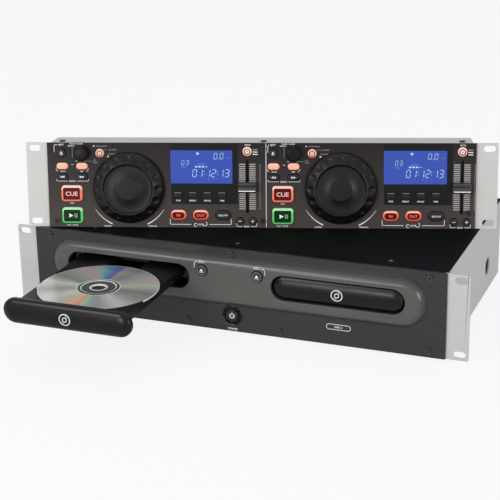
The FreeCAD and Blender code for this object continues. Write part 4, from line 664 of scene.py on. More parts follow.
SOFTENED = {
    "drive_fascia": (fascia_finish, 0.0003, slope_shoulder),
    "top_cover": (cover_finish, 0.0002),
    "side_bracket_left": (ear_finish, 0.0003), "side_bracket_right": (ear_finish, 0.0003),
    "control_ears": (wing_finish, 0.00025), "control_case": (case_finish, 0.0002),
    "control_panel": (panel_finish, 0.00015),
}
for name in ("left", "right"):
    SOFTENED.update({
        f"tray_{name}": (tray_finish, 0.0002), f"open_button_{name}": (key_black, 0.0001),
        f"track_knob_{name}": (knob_finish, 0.0002)})
SOFTENED["power_button"] = (key_black, 0.0001)
for node, recipe in SOFTENED.items():
    piece = soften(node, *recipe)
    print(piece.name, len(piece.data.polygons), "faces")

# %% [markdown]
# ## Drawing in millimetres
# Keys, print and small trim are drawn as outlines and pushed out along the panel's depth.  `Shape`
# collects such solids in one mesh, with a finish for each band, and then seats them.

# %% Shape
INK = 0.03


class Shape:
    """Solids drawn in millimetres, x across, y into the unit, z up."""

    def __init__(self, seat=SEAT):
        self.work = bmesh.new()
        self.finishes = []
        self.seat = seat

    def index(self, finish):
        if finish not in self.finishes:
            self.finishes.append(finish)
        return self.finishes.index(finish)

    def loft(self, rings, finishes, ends=(True, True)):
        """Join rings of (x, y, z) points; one finish for each band, the last one for the cap."""
        loops = [[self.work.verts.new(point) for point in ring] for ring in rings]
        count = len(rings[0])
        for number, (first, second) in enumerate(zip(loops, loops[1:])):
            for place in range(count):
                after = (place + 1) % count
                face = self.work.faces.new((first[place], first[after],
                                            second[after], second[place]))
                face.material_index = self.index(finishes[number])
        for wanted, loop, finish in zip(ends, (loops[0][::-1], loops[-1]),
                                        (finishes[0], finishes[-1])):
            if wanted:
                self.work.faces.new(loop).material_index = self.index(finish)

    def sweep(self, outline, section, finishes, ends=(True, True)):
        """Sweep a section of (depth, inset) points round an outline."""
        self.loft([[(x, depth, z) for x, z in outline(inset)] for depth, inset in section],
                  finishes, ends)

    def plate(self, points, low, high, finish):
        """A flat solid over x, z points, from depth low (rear) to high (front)."""
        self.loft([[(x, low, z) for x, z in points], [(x, high, z) for x, z in points]],
                  [finish])

    def mark(self, points, face=0.0, finish=ink):
        """A flat mark of ink on the plane y = face."""
        self.plate(points, face, face - INK, finish)

    def band(self, outline, face, wide, finish=ink):
        """A ring of ink inside an outline."""
        self.sweep(outline, ((face, 0.0), (face - INK, 0.0), (face - INK, wide), (face, wide)),
                   [finish] * 3, (False, False))

    def add(self, mesh, matrix, finish):
        """Another mesh, moved by a matrix."""
        faces, verts = len(self.work.faces), len(self.work.verts)
        self.work.from_mesh(mesh)
        self.work.verts.ensure_lookup_table()
        self.work.faces.ensure_lookup_table()
        bmesh.ops.transform(self.work, matrix=matrix, verts=self.work.verts[verts:])
        for face in self.work.faces[faces:]:
            face.material_index = self.index(finish)

    def drape(self, drop):
        """Lay flat print on a curved front; drop gives how far that lies back at x, z."""
        for vert in self.work.verts:
            vert.co.y += drop(vert.co.x, vert.co.z)

    def mesh(self, name):
        """The drawn mesh, seated and with its finishes."""
        bmesh.ops.recalc_face_normals(self.work, faces=self.work.faces)
        mesh = settled(self.work, name)
        mesh.transform(self.seat)
        for finish in self.finishes:
            mesh.materials.append(finish)
        print(name, len(mesh.polygons), "faces")
        return mesh

    def piece(self, name, body, slot, angle=SHARP_FROM):
        return add_piece(name, smooth(self.mesh(name), angle), body)

    def stand_in(self, name, node, angle=SHARP_FROM):
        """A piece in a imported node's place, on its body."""
        return add_piece(name, smooth(self.mesh(name), angle), BODY_OF[node],
                         (node,))


print("print stands", INK, "mm proud")

# %% [markdown]
# ## Outlines
# A key is a circle, a capsule or a rounded square.  Each outline is a function of how far it is
# drawn in from its edge, so one section can be swept round any of them.

# %% Outlines of keys
ARC_STEPS = 10


def arc(x, z, radius, start, end, steps=ARC_STEPS):
    """Points along an arc, angles in degrees."""
    angles = [math.radians(start + (end - start) * step / steps) for step in range(steps + 1)]
    return [(x + radius * math.cos(angle), z + radius * math.sin(angle)) for angle in angles]


def disc_outline(x, z, radius):
    return lambda inset: arc(x, z, radius - inset, 0, 350, 35)


def capsule_outline(x, z, half_long, radius, steps=ARC_STEPS):
    straight = half_long - radius
    return lambda inset: (arc(x + straight, z, radius - inset, -90, 90, steps)
                          + arc(x - straight, z, radius - inset, 90, 270, steps))


def square_outline(x, z, half_wide, half_high, corner):
    across, up = half_wide - corner, half_high - corner
    return lambda inset: (arc(x + across, z - up, corner - inset, -90, 0)
                          + arc(x + across, z + up, corner - inset, 0, 90)
                          + arc(x - across, z + up, corner - inset, 90, 180)
                          + arc(x - across, z - up, corner - inset, 180, 270))


print(len(square_outline(0, 0, 2, 2, 1)(0)), "points round a rounded square")

# %% [markdown]
# ## Marks and words
# Marks of ink are plain lists of points: a box, a triangle, or a stroke of the pen along a path.
# Words come from Blender's own font, whose capitals are 1 / 1.38 of its size, and are turned into a
# mesh because a piece has to be plain geometry.

# %% Marks and words
FONT_SIZE, FONT_WEIGHT, FONT_DEPTH = 1.38, 0.025, 0.02
MITRE_LIMIT = 0.4


def box(left, right, bottom, top):
    return [(left, bottom), (right, bottom), (right, top), (left, top)]


def triangle(x, z, size, way=1):
    """A play arrow; way is 1 to the right and -1 to the left."""
    return [(x - way * size * 0.45, z - size / 2), (x + way * size * 0.5, z),
            (x - way * size * 0.45, z + size / 2)][::way]


def stroke(points, width):
    """A drawn line of a given width along x, z points, joined square."""
    sides = ([], [])
    for number, point in enumerate(points):
        here = Vector(point)
        ways = []
        if number > 0:
            ways.append((here - Vector(points[number - 1])).normalized())
        if number < len(points) - 1:
            ways.append((Vector(points[number + 1]) - here).normalized())
        way = sum(ways, Vector((0, 0))).normalized()
        across = Vector((-way.y, way.x)) * (width / 2) / max(way.dot(ways[0]), MITRE_LIMIT)
        sides[0].append(tuple(here - across))
        sides[1].append(tuple(here + across))
    return sides[0] + sides[1][::-1]


def words(shape, text, x, z, size, depth, finish=ink, stretch=1.0):
    """Lettering of a given height in millimetres, standing on the plane y = depth."""
    curve = bpy.data.curves.new("words", "FONT")
    curve.body = text
    curve.size = size * FONT_SIZE
    curve.align_x = "CENTER"
    curve.extrude = FONT_DEPTH
    curve.offset = size * FONT_WEIGHT
    curve.resolution_u = 3
    mesh = plain_mesh(new_object("words", curve))
    upright = (Matrix.Translation((x, depth, z - size / 2))
               @ Matrix.Scale(stretch, 4, (1, 0, 0)) @ Matrix.Rotation(math.pi / 2, 4, "X"))
    shape.add(mesh, upright, finish)
    bpy.data.meshes.remove(mesh)


print("a stroke of three points has", len(stroke([(0, 0), (1, 0), (1, 1)], 0.1)), "corners")

# %% [markdown]
# ## Keys
# Every key has the same section: a keeper flange behind the panel, a straight side, a rounded
# shoulder, and then either a plain top or a lit rim round a sunken heart.  The section is swept
# round the key's outline, one finish to a band.

# %% Key section
PANEL_BACK, FLANGE_BACK, FLANGE_OUT = 2.3, 3.5, 0.7
ROUND, ROUND_STEPS = 0.8, 4
SINK, SINK_SLOPE = 0.35, 0.15
KEY_PROUD, CUE_PROUD = 1.8, 3.2
KEY_HEART, CUE_HEART = -KEY_PROUD + SINK, -CUE_PROUD + SINK


def cap(shape, outline, proud, side, heart=None, rim=0.0):
    """A key cap; a heart is set slightly below a rim of the given width."""
    stages = [(FLANGE_BACK, -FLANGE_OUT), (PANEL_BACK, -FLANGE_OUT), (PANEL_BACK, 0.0), (0.0, 0.0),
              (-proud + ROUND, 0.0)]
    for step in range(1, ROUND_STEPS + 1):
        angle = math.pi / 2 * step / ROUND_STEPS
        stages.append((-proud + ROUND * (1 - math.sin(angle)), ROUND * (1 - math.cos(angle))))
    finishes = [side] * (len(stages) - 1)
    if heart:
        stages += [(-proud, ROUND + rim), (-proud + SINK, ROUND + rim + SINK_SLOPE)]
        finishes += [side, heart]
    shape.sweep(outline, stages, finishes + [heart or side])


print("keys stand", KEY_PROUD, "mm proud, the cue and play keys", CUE_PROUD, "mm")

# %% [markdown]
# ## The two decks' keys
# The decks are alike, 218 mm apart, so one table of keys serves both.  Words and signs on a key
# are part of the key's own piece, because they move with it.

# %% Layout of a deck
HALF_PITCH, DECK_SHIFT = 109.0, 3.3
DECKS = (("left", DECK_SHIFT - HALF_PITCH), ("right", DECK_SHIFT + HALF_PITCH))
EJECT = (-98.6, 77.5, 4.5)
MODE = (-58.9, 77.3, 4.2)
PITCH = (92.9, 79.3, 4.5)
SKIP_COLUMNS, SKIP_HALF, SEARCH_UP = (-98.2, -77.8), 5.75, 52.8
CUE_ACROSS, CUE_SIZE = -88.9, (10.6, CUE_HALF, 3.2)
LOOP_FIRST, LOOP_PITCH, LOOP_HALF = 21.4, 23.1, 7.95
SMALL_FIRST, SMALL_PITCH, SMALL_UP, SMALL_SIZE = 21.3, 15.13, 34.6, (4.3, 3.3, 1.2)
NUDGE_FIRST, NUDGE_PITCH, NUDGE_UP, NUDGE_RADIUS = 85.3, 12.9, 7.2, 3.8
WHEEL = (-29.3, 41.6)
FADER = (92.9, 43.0)
print("deck middles", DECKS)

# %% [markdown]
# ## Round keys
# The eject key is black, with its sign in a shallow dish.  The mode and pitch keys are small lamps:
# a pale rim, a red ring inside it, and a raised white heart with a dot.

# %% Round keys
SIGN_BAR = 0.6
LAMP_THICK, LAMP_INSET, DOT_RADIUS = 0.1, 2.3, 0.8


def eject_sign(shape, x, z, half, foot, top, bar, face):
    """A triangle over a bar, the sign for letting a disc out."""
    shape.mark([(x - half, z + foot), (x + half, z + foot), (x, z + top)], face)
    shape.mark(box(x - half, x + half, z + bar, z + bar + SIGN_BAR), face)


def eject_key(name, middle):
    shape = Shape()
    x, z, radius = middle + EJECT[0], EJECT[1], EJECT[2]
    cap(shape, disc_outline(x, z, radius), KEY_PROUD, key_black, key_black, 0.8)
    eject_sign(shape, x, z, 1.5, -0.4, 2.0, -1.7, KEY_HEART)
    shape.stand_in(f"eject_key_{name}", f"eject_button_{name}")


def lamp_key(name, middle, label, place):
    """A small round key with a pale rim, a red ring and a white heart."""
    shape = Shape()
    x, z, radius = middle + place[0], place[1], place[2]
    cap(shape, disc_outline(x, z, radius), KEY_PROUD, lamp_ring, lamp_red, 0.35)
    face = KEY_HEART - LAMP_THICK
    shape.plate(disc_outline(x, z, radius)(LAMP_INSET), KEY_HEART, face, lamp_white)
    shape.mark(disc_outline(x, z, DOT_RADIUS)(0), face, lamp_dot)
    shape.stand_in(f"{label}_key_{name}", f"{label}_button_{name}")


print("round keys at", EJECT[:2], MODE[:2], PITCH[:2])

# %% [markdown]
# ## Long and square keys
# The skip and search keys are plain capsules in pairs.  Cue and play are the largest keys: a lit
# rim round a dark window, with a word or a sign in it.  The loop keys are capsules of that kind.

# %% Long and square keys
SEARCH_ARROWS, ARROW = (-1.15, 1.15), 2.4
PLAY_ARROW_LEFT, PLAY_ARROW = 1.2, 4.4
PAUSE_BARS, PAUSE_WIDE, PAUSE_HALF_HIGH = (2.3, 4.2), 1.1, 2.3


def track_keys(name, middle):
    shape = Shape()
    for column, way in zip(SKIP_COLUMNS, (-1, 1)):
        x = middle + column
        cap(shape, capsule_outline(x, SKIP_UP, SKIP_HALF, SKIP_RADIUS), KEY_PROUD, peach)
        cap(shape, capsule_outline(x, SEARCH_UP, SKIP_HALF, SKIP_RADIUS), KEY_PROUD, key_black)
        for shift in SEARCH_ARROWS:
            shape.mark(triangle(x + shift, SEARCH_UP, ARROW, way), -KEY_PROUD)
    shape.stand_in(f"skip_and_search_keys_{name}", f"track_keys_{name}")


def square_key(x, z, rim, heart):
    shape = Shape()
    cap(shape, square_outline(x, z, *CUE_SIZE), CUE_PROUD, rim, heart, 1.0)
    return shape


def cue_and_play_keys(name, middle):
    x = middle + CUE_ACROSS
    cue = square_key(x, CUE_UP, red_ring, red_heart)
    words(cue, "CUE", x, CUE_UP, 4.5, CUE_HEART, red_words, 1.08)
    cue.stand_in(f"cue_key_{name}", f"cue_button_{name}")
    play = square_key(x, PLAY_UP, green_ring, green_heart)
    play.mark(triangle(x - PLAY_ARROW_LEFT, PLAY_UP, PLAY_ARROW), CUE_HEART, green_words)
    for left in PAUSE_BARS:
        play.mark(box(x + left, x + left + PAUSE_WIDE, PLAY_UP - PAUSE_HALF_HIGH,
                      PLAY_UP + PAUSE_HALF_HIGH), CUE_HEART, green_bars)
    play.stand_in(f"play_key_{name}", f"play_button_{name}")


LOOP_KEYS = (("loop_in", "IN", 2.9, loop_ring, red_heart, loop_words),
             ("loop_out", "OUT", 2.9, loop_ring, red_heart, loop_words),
             ("reloop", "RELOOP", 1.8, key_black, key_black, ink))


def loop_keys(name, middle):
    for number, (label, text, size, rim, heart, letters) in enumerate(LOOP_KEYS):
        shape = Shape()
        x = middle + LOOP_FIRST + LOOP_PITCH * number
        cap(shape, capsule_outline(x, LOOP_UP, LOOP_HALF, LOOP_RADIUS), KEY_PROUD, rim, heart, 0.7)
        words(shape, text, x, LOOP_UP, size, KEY_HEART, letters)
        shape.stand_in(f"{label}_key_{name}", f"{label}_button_{name}")


print(len(LOOP_KEYS), "loop keys to a deck")

# %% [markdown]
# ## Keys under the display and the fader
# Under the display sit four small grey squares with one printed bar each, and under the fader two
# round keys, minus and plus, that nudge the speed.  Now that each kind can be drawn, one
# loop draws both decks.

# %% Display and nudge keys
SMALL_BAR_HALF, SMALL_BAR_UP = 3.4, (2.0, 2.4)
NUDGE_SIGN = ((1.5, 0.3), (0.3, 1.5))


def small_keys(name, middle):
    shape = Shape()
    for number in range(4):
        x = middle + SMALL_FIRST + SMALL_PITCH * number
        cap(shape, square_outline(x, SMALL_UP, *SMALL_SIZE), KEY_PROUD, key_grey)
        low, high = (SMALL_UP + up for up in SMALL_BAR_UP)
        shape.mark(box(x - SMALL_BAR_HALF, x + SMALL_BAR_HALF, low, high), -KEY_PROUD, faint_ink)
    shape.stand_in(f"display_mode_keys_{name}", f"mode_keys_{name}")


def nudge_keys(name, middle):
    shape = Shape()
    for number in range(2):
        x = middle + NUDGE_FIRST + NUDGE_PITCH * number
        cap(shape, disc_outline(x, NUDGE_UP, NUDGE_RADIUS), KEY_PROUD, key_black)
        for wide, high in NUDGE_SIGN[:number + 1]:
            shape.mark(box(x - wide, x + wide, NUDGE_UP - high, NUDGE_UP + high), -KEY_PROUD)
    shape.stand_in(f"nudge_keys_{name}", f"bend_keys_{name}")


for name, middle in DECKS:
    eject_key(name, middle)
    lamp_key(name, middle, "mode", MODE)
    lamp_key(name, middle, "pitch", PITCH)
    track_keys(name, middle)
    cue_and_play_keys(name, middle)
    loop_keys(name, middle)
    small_keys(name, middle)
    nudge_keys(name, middle)

# %% [markdown]
# ## Rules in Geometry Nodes
# Where a form repeats by rule, a Geometry Nodes tree makes it, so that one number changes the
# whole.  `Rule` is such a tree: it has labelled inputs, the last of which is the finish,
# and it ends by making its instances real and giving them that finish.

# %% Rule
class Rule(Graph):
    """A Geometry Nodes tree; inputs gives the kind of each labelled input."""

    def __init__(self, name, inputs):
        super().__init__(bpy.data.node_groups.new(name, "GeometryNodeTree"))
        face = self.tree.interface
        for label, kind in (*inputs.items(), ("Finish", "Material")):
            face.new_socket(label, in_out="INPUT", socket_type=f"NodeSocket{kind}")
        face.new_socket("Geometry", in_out="OUTPUT", socket_type="NodeSocketGeometry")

    def given(self, label):
        """The wire of one of the tree's inputs."""
        return self.node("NodeGroupInput", {}, {}, label)

    def vector(self, **axes):
        """A vector from its X, Y and Z."""
        return self.node("ShaderNodeCombineXYZ", {}, axes)

    def close(self, shape):
        """Make the instances real, give them the finish and hand the shape out."""
        whole = self.node("GeometryNodeRealizeInstances", {}, {"Geometry": shape})
        done = self.node("GeometryNodeSetMaterial", {}, {
            "Geometry": whole, "Material": self.given("Finish")})
        self.node("NodeGroupOutput", {}, {"Geometry": done})
        print(self.tree.name, "has", len(self.tree.nodes), "nodes")

    def grow(self, mesh, values):
        """The plain mesh that the tree makes of a mesh; inputs are set by identifier."""
        thing = new_object("grown", mesh)
        modifier = thing.modifiers.new("rule", "NODES")
        modifier.node_group = self.tree
        for item in self.tree.interface.items_tree:
            if item.name in values:
                modifier[item.identifier] = values[item.name]
        return plain_mesh(thing)


print("rules ready")

# %% [markdown]
# ## Jog wheels
# The jog wheel follows a rule: a turned band that slopes out to a rim, with sixteen finger dimples
# pressed into it at even steps.  A turned mesh carries the section, and the rule presses the
# dimples in: every point finds its nearest dimple by rounding its angle, and sinks by how
# near it is.

# %% Dimple rule
WHEEL_FRONT = -2.9
DIMPLE_FLOOR = 0.25


def dimple_rule():
    rule = Rule("finger_dimples", {"Geometry": "Geometry", "Count": "Float", "Ring": "Float",
                                   "Radius": "Float", "Depth": "Float"})
    place = rule.node("GeometryNodeInputPosition", {}, {})
    x, depth, z = (rule.axis(place, number) for number in range(3))
    step = math.tau / rule.given("Count")
    nearest = rule.maths("ROUND", rule.maths("ARCTAN2", z, x) / step) * step
    across = x - rule.maths("COSINE", nearest) * rule.given("Ring")
    up = z - rule.maths("SINE", nearest) * rule.given("Ring")
    away = rule.maths("SQRT", across * across + up * up)
    radius = rule.given("Radius")
    near = rule.share(away, radius, radius * DIMPLE_FLOOR, interpolation_type="SMOOTHSTEP")
    rule.close(rule.node("GeometryNodeSetPosition", {}, {
        "Geometry": rule.given("Geometry"), "Selection": depth < WHEEL_FRONT,
        "Offset": rule.vector(Y=near * rule.given("Depth"))}))
    return rule


DIMPLES = dimple_rule()

# %% [markdown]
# ## The turned wheel
# The section runs from the shaft's rear end out to the wheel's edge, over the rim and in to the
# dish, as depth and radius in millimetres.  It is fine-stepped on the slope, where the dimples go.

# %% Turned wheels
SLOPE_STEPS, WHEEL_STEPS = 28, 288
WHEEL_SLOPE = (Vector((-3.0, 36.8)), Vector((-6.0, 36.2)), Vector((-9.4, 30.6)),
               Vector((-11.0, 27.1)))
WHEEL_SECTION = (
    (10.3, 3.0), (-0.8, 3.0), (-0.8, 36.8),
    *(tuple(cubic(WHEEL_SLOPE, step / SLOPE_STEPS)) for step in range(SLOPE_STEPS + 1)),
    (-11.0, 26.3), (-10.8, 25.7), (-10.2, 25.2), (-9.4, 24.8), (-8.9, 24.3), (-8.8, 23.6),
    (-8.8, 12.3), (-9.0, 12.0), (-9.05, 11.0), (-9.05, 4.0))


def jog_wheel(name, x, z):
    turns = [math.tau * step / WHEEL_STEPS for step in range(WHEEL_STEPS)]
    shape = Shape(Matrix())
    shape.loft([[(radius * math.cos(turn), depth, radius * math.sin(turn)) for turn in turns]
                for depth, radius in WHEEL_SECTION], [wheel_finish] * len(WHEEL_SECTION))
    mesh = DIMPLES.grow(shape.mesh(f"wheel_{name}"), {
        "Count": 16.0, "Ring": 30.8, "Radius": 4.3, "Depth": 1.3, "Finish": wheel_finish})
    mesh.transform(SEAT @ Matrix.Translation((x, 0, z)))
    node = f"jog_wheel_{name}"
    add_piece(f"{node}_turned", smooth(mesh, ROUND_SHARP_FROM), BODY_OF[node],
              (node,))


for name, middle in DECKS:
    jog_wheel(name, middle + WHEEL[0], WHEEL[1])

# %% [markdown]
# ## Pitch faders
# A fader cap is a short bar, ridged above and below a shallow finger hollow, with a white line
# along its lower ridge.  Its section runs along the bar and shrinks a little at the two ends.

# %% Fader caps
FADER_LINE, FADER_STEM = (-8.4, 8.4, -3.8, -3.0), (-0.9, 0.9, -3.0, 3.0)
FADER_SECTION = (
    (-1.3, -5.2), (-1.3, 5.2), (-5.6, 5.2), (-6.6, 4.9), (-7.7, 4.0), (-8.0, 3.4), (-7.9, 2.8),
    (-7.2, 1.6), (-6.6, 0.6), (-6.4, 0.0), (-6.6, -0.6), (-7.2, -1.6), (-7.9, -2.8),
    (-8.0, -3.4), (-7.7, -4.0), (-6.6, -4.9), (-5.6, -5.2))
FADER_ENDS = ((-9.15, 0.9), (-8.85, 0.97), (-8.3, 1.0), (8.3, 1.0), (8.85, 0.97), (9.15, 0.9))
FADER_CORE = -4.6


def fader(name, middle):
    shape = Shape()
    x, z = middle + FADER[0], FADER[1]
    shape.loft([[(x + across, FADER_CORE + (depth - FADER_CORE) * scale, z + up * scale)
                 for depth, up in FADER_SECTION] for across, scale in FADER_ENDS],
               [fader_finish] * len(FADER_ENDS))
    for (left, right, low, high), rear, face, finish in (
            (FADER_LINE, -7.7, -8.0, cap_line), (FADER_STEM, 8.2, -1.3, knob_finish)):
        shape.plate(box(x + left, x + right, z + low, z + high), rear, face, finish)
    shape.stand_in(f"fader_cap_{name}", f"pitch_fader_{name}")


for name, middle in DECKS:
    fader(name, middle)

# %% [markdown]
# ## Displays
# The display is a blue backlit glass in a black surround.  Its figures are seven-segment, each a
# slim hexagon that leans a little to the right.

# %% Seven-segment figures
SEGMENTS = {"0": "abcdef", "1": "bc", "2": "abged", "3": "abgcd"}
FIGURE_WIDE, FIGURE_THICK, FIGURE_LEAN = 0.5, 0.085, 0.12
GLASS = 0.4
GLASS_FACE = GLASS - 0.05


def digit(shape, sign, x, z, high):
    """One seven-segment figure, x at its left and z at its foot."""
    wide, thick, half = high * FIGURE_WIDE, high * FIGURE_THICK, high / 2
    spots = {"a": (0, high, wide, high), "g": (0, half, wide, half), "d": (0, 0, wide, 0),
             "f": (0, half, 0, high), "b": (wide, half, wide, high),
             "e": (0, 0, 0, half), "c": (wide, 0, wide, half)}
    for name in SEGMENTS[sign]:
        x0, z0, x1, z1 = spots[name]
        way = Vector((x1 - x0, z1 - z0)).normalized() * thick / 2
        side = Vector((-way.y, way.x))
        start, end = Vector((x0, z0)) + way, Vector((x1, z1)) - way
        outline = (start, start + way - side, end - way - side, end, end - way + side,
                   start + way + side)
        shape.mark([(x + point.x + point.y * FIGURE_LEAN, z + point.y) for point in outline],
                   GLASS_FACE, glass_words)


print(len(SEGMENTS), "figures can be shown")

# %% [markdown]
# ## What the display shows
# A track number, the pitch, a play arrow, a row of bars and the running time.  They are written as
# tables, in the deck's own millimetres, and every mark of them is one thin solid on the glass.

# %% Display faces
DISPLAY, DISPLAY_SIZE = (45.7, 63.2), (31.9, 17.2, 0.8)
PLAYING = (42.5, 77.0, 3.2)
BAR_WIDE, BAR_SPAN = 2.5, (62.7, 64.2)
FIGURES = (("03", 25.3, 4.4, 0.0, 65.1, 4.9), ("00", 58.5, 6.3, 0.0, 71.4, 6.0),
           ("011213", 36.4, 5.9, 1.9, 52.9, 7.6))
DOTS = ((63.2, 71.2, 0.6), (48.2, 55.3, 0.7), (48.2, 58.3, 0.7), (61.9, 55.3, 0.7),
        (61.9, 58.3, 0.7))
BARS = ((39.2, glass_words), (42.7, glass_words), (46.2, glass_words), (49.7, glass_dim))
SMALL_PRINT = (("PROGRESS", 45.3, 66.2, 1.1), ("TRACK", 27.4, 62.9, 1.1),
               ("PITCH %", 74.0, 72.8, 0.9), ("M          S          F", 57.5, 51.0, 1.0))


def display(name, middle):
    shape = Shape()
    shape.plate(square_outline(middle + DISPLAY[0], DISPLAY[1], *DISPLAY_SIZE)(0.0), GLASS,
                GLASS_FACE, glass_blue)
    for text, left, step, pair_gap, foot, high in FIGURES:
        for number, sign in enumerate(text):
            digit(shape, sign, middle + left + step * number + pair_gap * (number // 2), foot,
                  high)
    for left, foot, size in DOTS:
        shape.mark(box(middle + left, middle + left + size, foot, foot + size), GLASS_FACE,
                   glass_words)
    shape.mark(triangle(middle + PLAYING[0], *PLAYING[1:]), GLASS_FACE, glass_words)
    for left, finish in BARS:
        shape.mark(box(middle + left, middle + left + BAR_WIDE, *BAR_SPAN), GLASS_FACE, finish)
    for text, x, z, size in SMALL_PRINT:
        words(shape, text, middle + x, z, size, GLASS_FACE, glass_dim)
    shape.piece(f"display_face_{name}", "control_unit", "display")


for name, middle in DECKS:
    display(name, middle)

# %% [markdown]
# ## Print on the control panel
# The silk-screened words, brackets and rules of one deck, written as tables in the deck's own
# millimetres and used for both.  Only the left-hand ends of two brackets differ, where the left
# deck has more room.

# %% Tables of panel print
LABELS = (
    ("EJECT", -98.7, 86.1, 1.6), ("TRACK / FOLDER", -83.1, 87.0, 1.3),
    ("SEARCH", -88.4, 84.9, 1.3), ("TRACK", -97.6, 58.4, 1.3), ("SKIP", -78.0, 58.4, 1.3),
    ("SEARCH", -88.0, 48.1, 1.4), ("CUE", -89.2, 25.3, 1.4), ("PLAY / PAUSE", -89.4, 2.1, 1.4),
    ("REVERSE", -52.5, 1.2, 1.4), ("FORWARD", -5.8, 1.3, 1.4), ("LOOP", 43.9, 3.3, 1.8),
    ("PITCH", 93.4, 86.0, 1.5), ("BEND", 91.8, 1.4, 1.5),
    *((text, SMALL_FIRST + SMALL_PITCH * number, 28.3, 1.6)
      for number, text in enumerate(("PGM", "REPEAT", "SINGLE", "TIME"))))
FAINT_LABELS = (
    ("PUSH / ENTER", -71.4, 68.9, 0.9), ("TRACK SEARCH", -56.9, 84.7, 1.2),
    ("JOG MODE", -45.5, 80.9, 1.2), ("SCRATCH", -46.4, 76.6, 1.2), ("JOG", -64.6, 70.2, 1.2),
    ("MODE", -63.9, 67.8, 1.2))
RULES = (
    (0.5, (-88.6, 65.4), (-86.4, 65.4)), (0.6, (-84.1, 68.9), (-82.6, 68.9)),
    *((0.4, (column + out * 6.4, 61.6), (column + out * 6.4, 59.8), (column + out * 5.4, 58.7),
       (column + out * 4.4, 58.5)) for column, out in zip(SKIP_COLUMNS, (-1, 1))),
    (0.4, (-83.0, 48.2), (-72.0, 48.2), (-71.2, 48.9), (-71.2, 50.2)),
    (0.55, (12.7, 9.2), (12.7, 4.2), (13.5, 3.3), (34.4, 3.3)),
    (0.55, (53.4, 3.3), (75.1, 3.3), (75.9, 4.2), (75.9, 9.2)),
    (0.6, *arc(48.6, 4.1, 2.3, -150, 60, 12)), (0.6, *arc(39.2, 2.7, 1.7, 60, 290, 12)),
    (0.9, (98.6, 78.8), (103.6, 78.8)), (0.9, (98.6, 76.4), (103.6, 76.4)),
    (0.5, (81.7, 4.8), (81.7, 2.2), (82.5, 1.4), (87.2, 1.4)),
    (0.5, (96.4, 1.4), (101.5, 1.4), (102.3, 2.2), (102.3, 4.8)))
FAINT_RULES = (
    (0.5, (-87.3, 83.2), (-87.3, 72.9)), (0.25, (-56.4, 79.8), (-54.6, 80.9), (-51.0, 80.9)),
    (0.9, (98.6, 81.2), (103.6, 81.2)), (0.35, (105.9, 66.3), (105.9, 19.6)),
    *((0.3, (104.9, 20.0 + number * 5.75), (105.9, 20.0 + number * 5.75))
      for number in range(9)))
LAMPS = ((-65.5, -64.3, 84.1, 85.3), (-51.1, -49.7, 73.3, 74.7))
BLOCKS = ((14.2, 83.2, 24.6, 45.6), (14.2, 83.2, 80.8, 87.2), (78.0, 83.2, 45.6, 80.8))
print(len(LABELS) + len(FAINT_LABELS), "labels and", len(RULES) + len(FAINT_RULES), "rules")

# %% [markdown]
# ## Printing a deck
# The tables hold a label as a word, its place and its height, and a rule as a width and points.
# The only shapes that need more are the two crescents under the jog wheel, which swell as they go
# down.

# %% Panel print
WHEEL_ARC, ARC_THIN, ARC_THICK, CRESCENT_STEPS = 42.4, 0.3, 1.2, 18
CRESCENTS = ((212.5, 244.5), (327.5, 295.5))
DIVIDER, DIVIDER_HALF, PANEL_EDGES = 6.4, 0.3, (0.6, 87.6)
BRACKET_STARTS = ((-104.5, -106.1), (-103.9, -103.9))


def crescent(shape, x, z, radius, start, end):
    """An arc of ink that grows from a thin end to a thick one."""
    outer, inner = [], []
    for step in range(CRESCENT_STEPS + 1):
        angle = math.radians(start + (end - start) * step / CRESCENT_STEPS)
        half = (ARC_THIN + (ARC_THICK - ARC_THIN) * step / CRESCENT_STEPS) / 2
        way = Vector((math.cos(angle), math.sin(angle)))
        outer.append(tuple(Vector((x, z)) + way * (radius + half)))
        inner.append(tuple(Vector((x, z)) + way * (radius - half)))
    shape.mark(outer + inner[::-1])


def panel_print(name, middle, search_start, eject_start):
    shape = Shape()
    own_rules = (
        (0.5, (eject_start, 78.2), (eject_start, 84.8), (eject_start + 0.8, 86.0),
         (-102.6, 86.0)),
        (0.4, (search_start, 50.2), (search_start, 48.9), (search_start + 0.8, 48.2),
         (-93.0, 48.2)))
    for rules, finish in ((own_rules + RULES, ink), (FAINT_RULES, faint_ink)):
        for width, *points in rules:
            shape.mark(stroke([(middle + x, z) for x, z in points], width), 0.0, finish)
    for labels, finish in ((LABELS, ink), (FAINT_LABELS, faint_ink)):
        for text, x, z, size in labels:
            words(shape, text, middle + x, z, size, -INK / 2, finish)
    for boxes, high, finish in ((LAMPS, -LAMP_THICK, lamp_white), (BLOCKS, -INK / 2, block_finish)):
        for left, right, bottom, top in boxes:
            shape.plate(box(middle + left, middle + right, bottom, top), 0.0, high, finish)
    for start, end in CRESCENTS:
        crescent(shape, middle + WHEEL[0], WHEEL[1], WHEEL_ARC, start, end)
    shape.piece(f"control_print_{name}", "control_unit", "control_panel")


for (name, middle), starts in zip(DECKS, BRACKET_STARTS):
    panel_print(name, middle, *starts)
divider = Shape()
divider.mark(box(DIVIDER - DIVIDER_HALF, DIVIDER + DIVIDER_HALF, *PANEL_EDGES))
divider.piece("deck_divider", "control_unit", "control_panel")

# %% [markdown]
# ## Fader scales
# Two combs of short rules stand beside each fader's slot.  They repeat at an even step, so a rule
# lays them: a line of points, a bar on each point, and a second comb across.

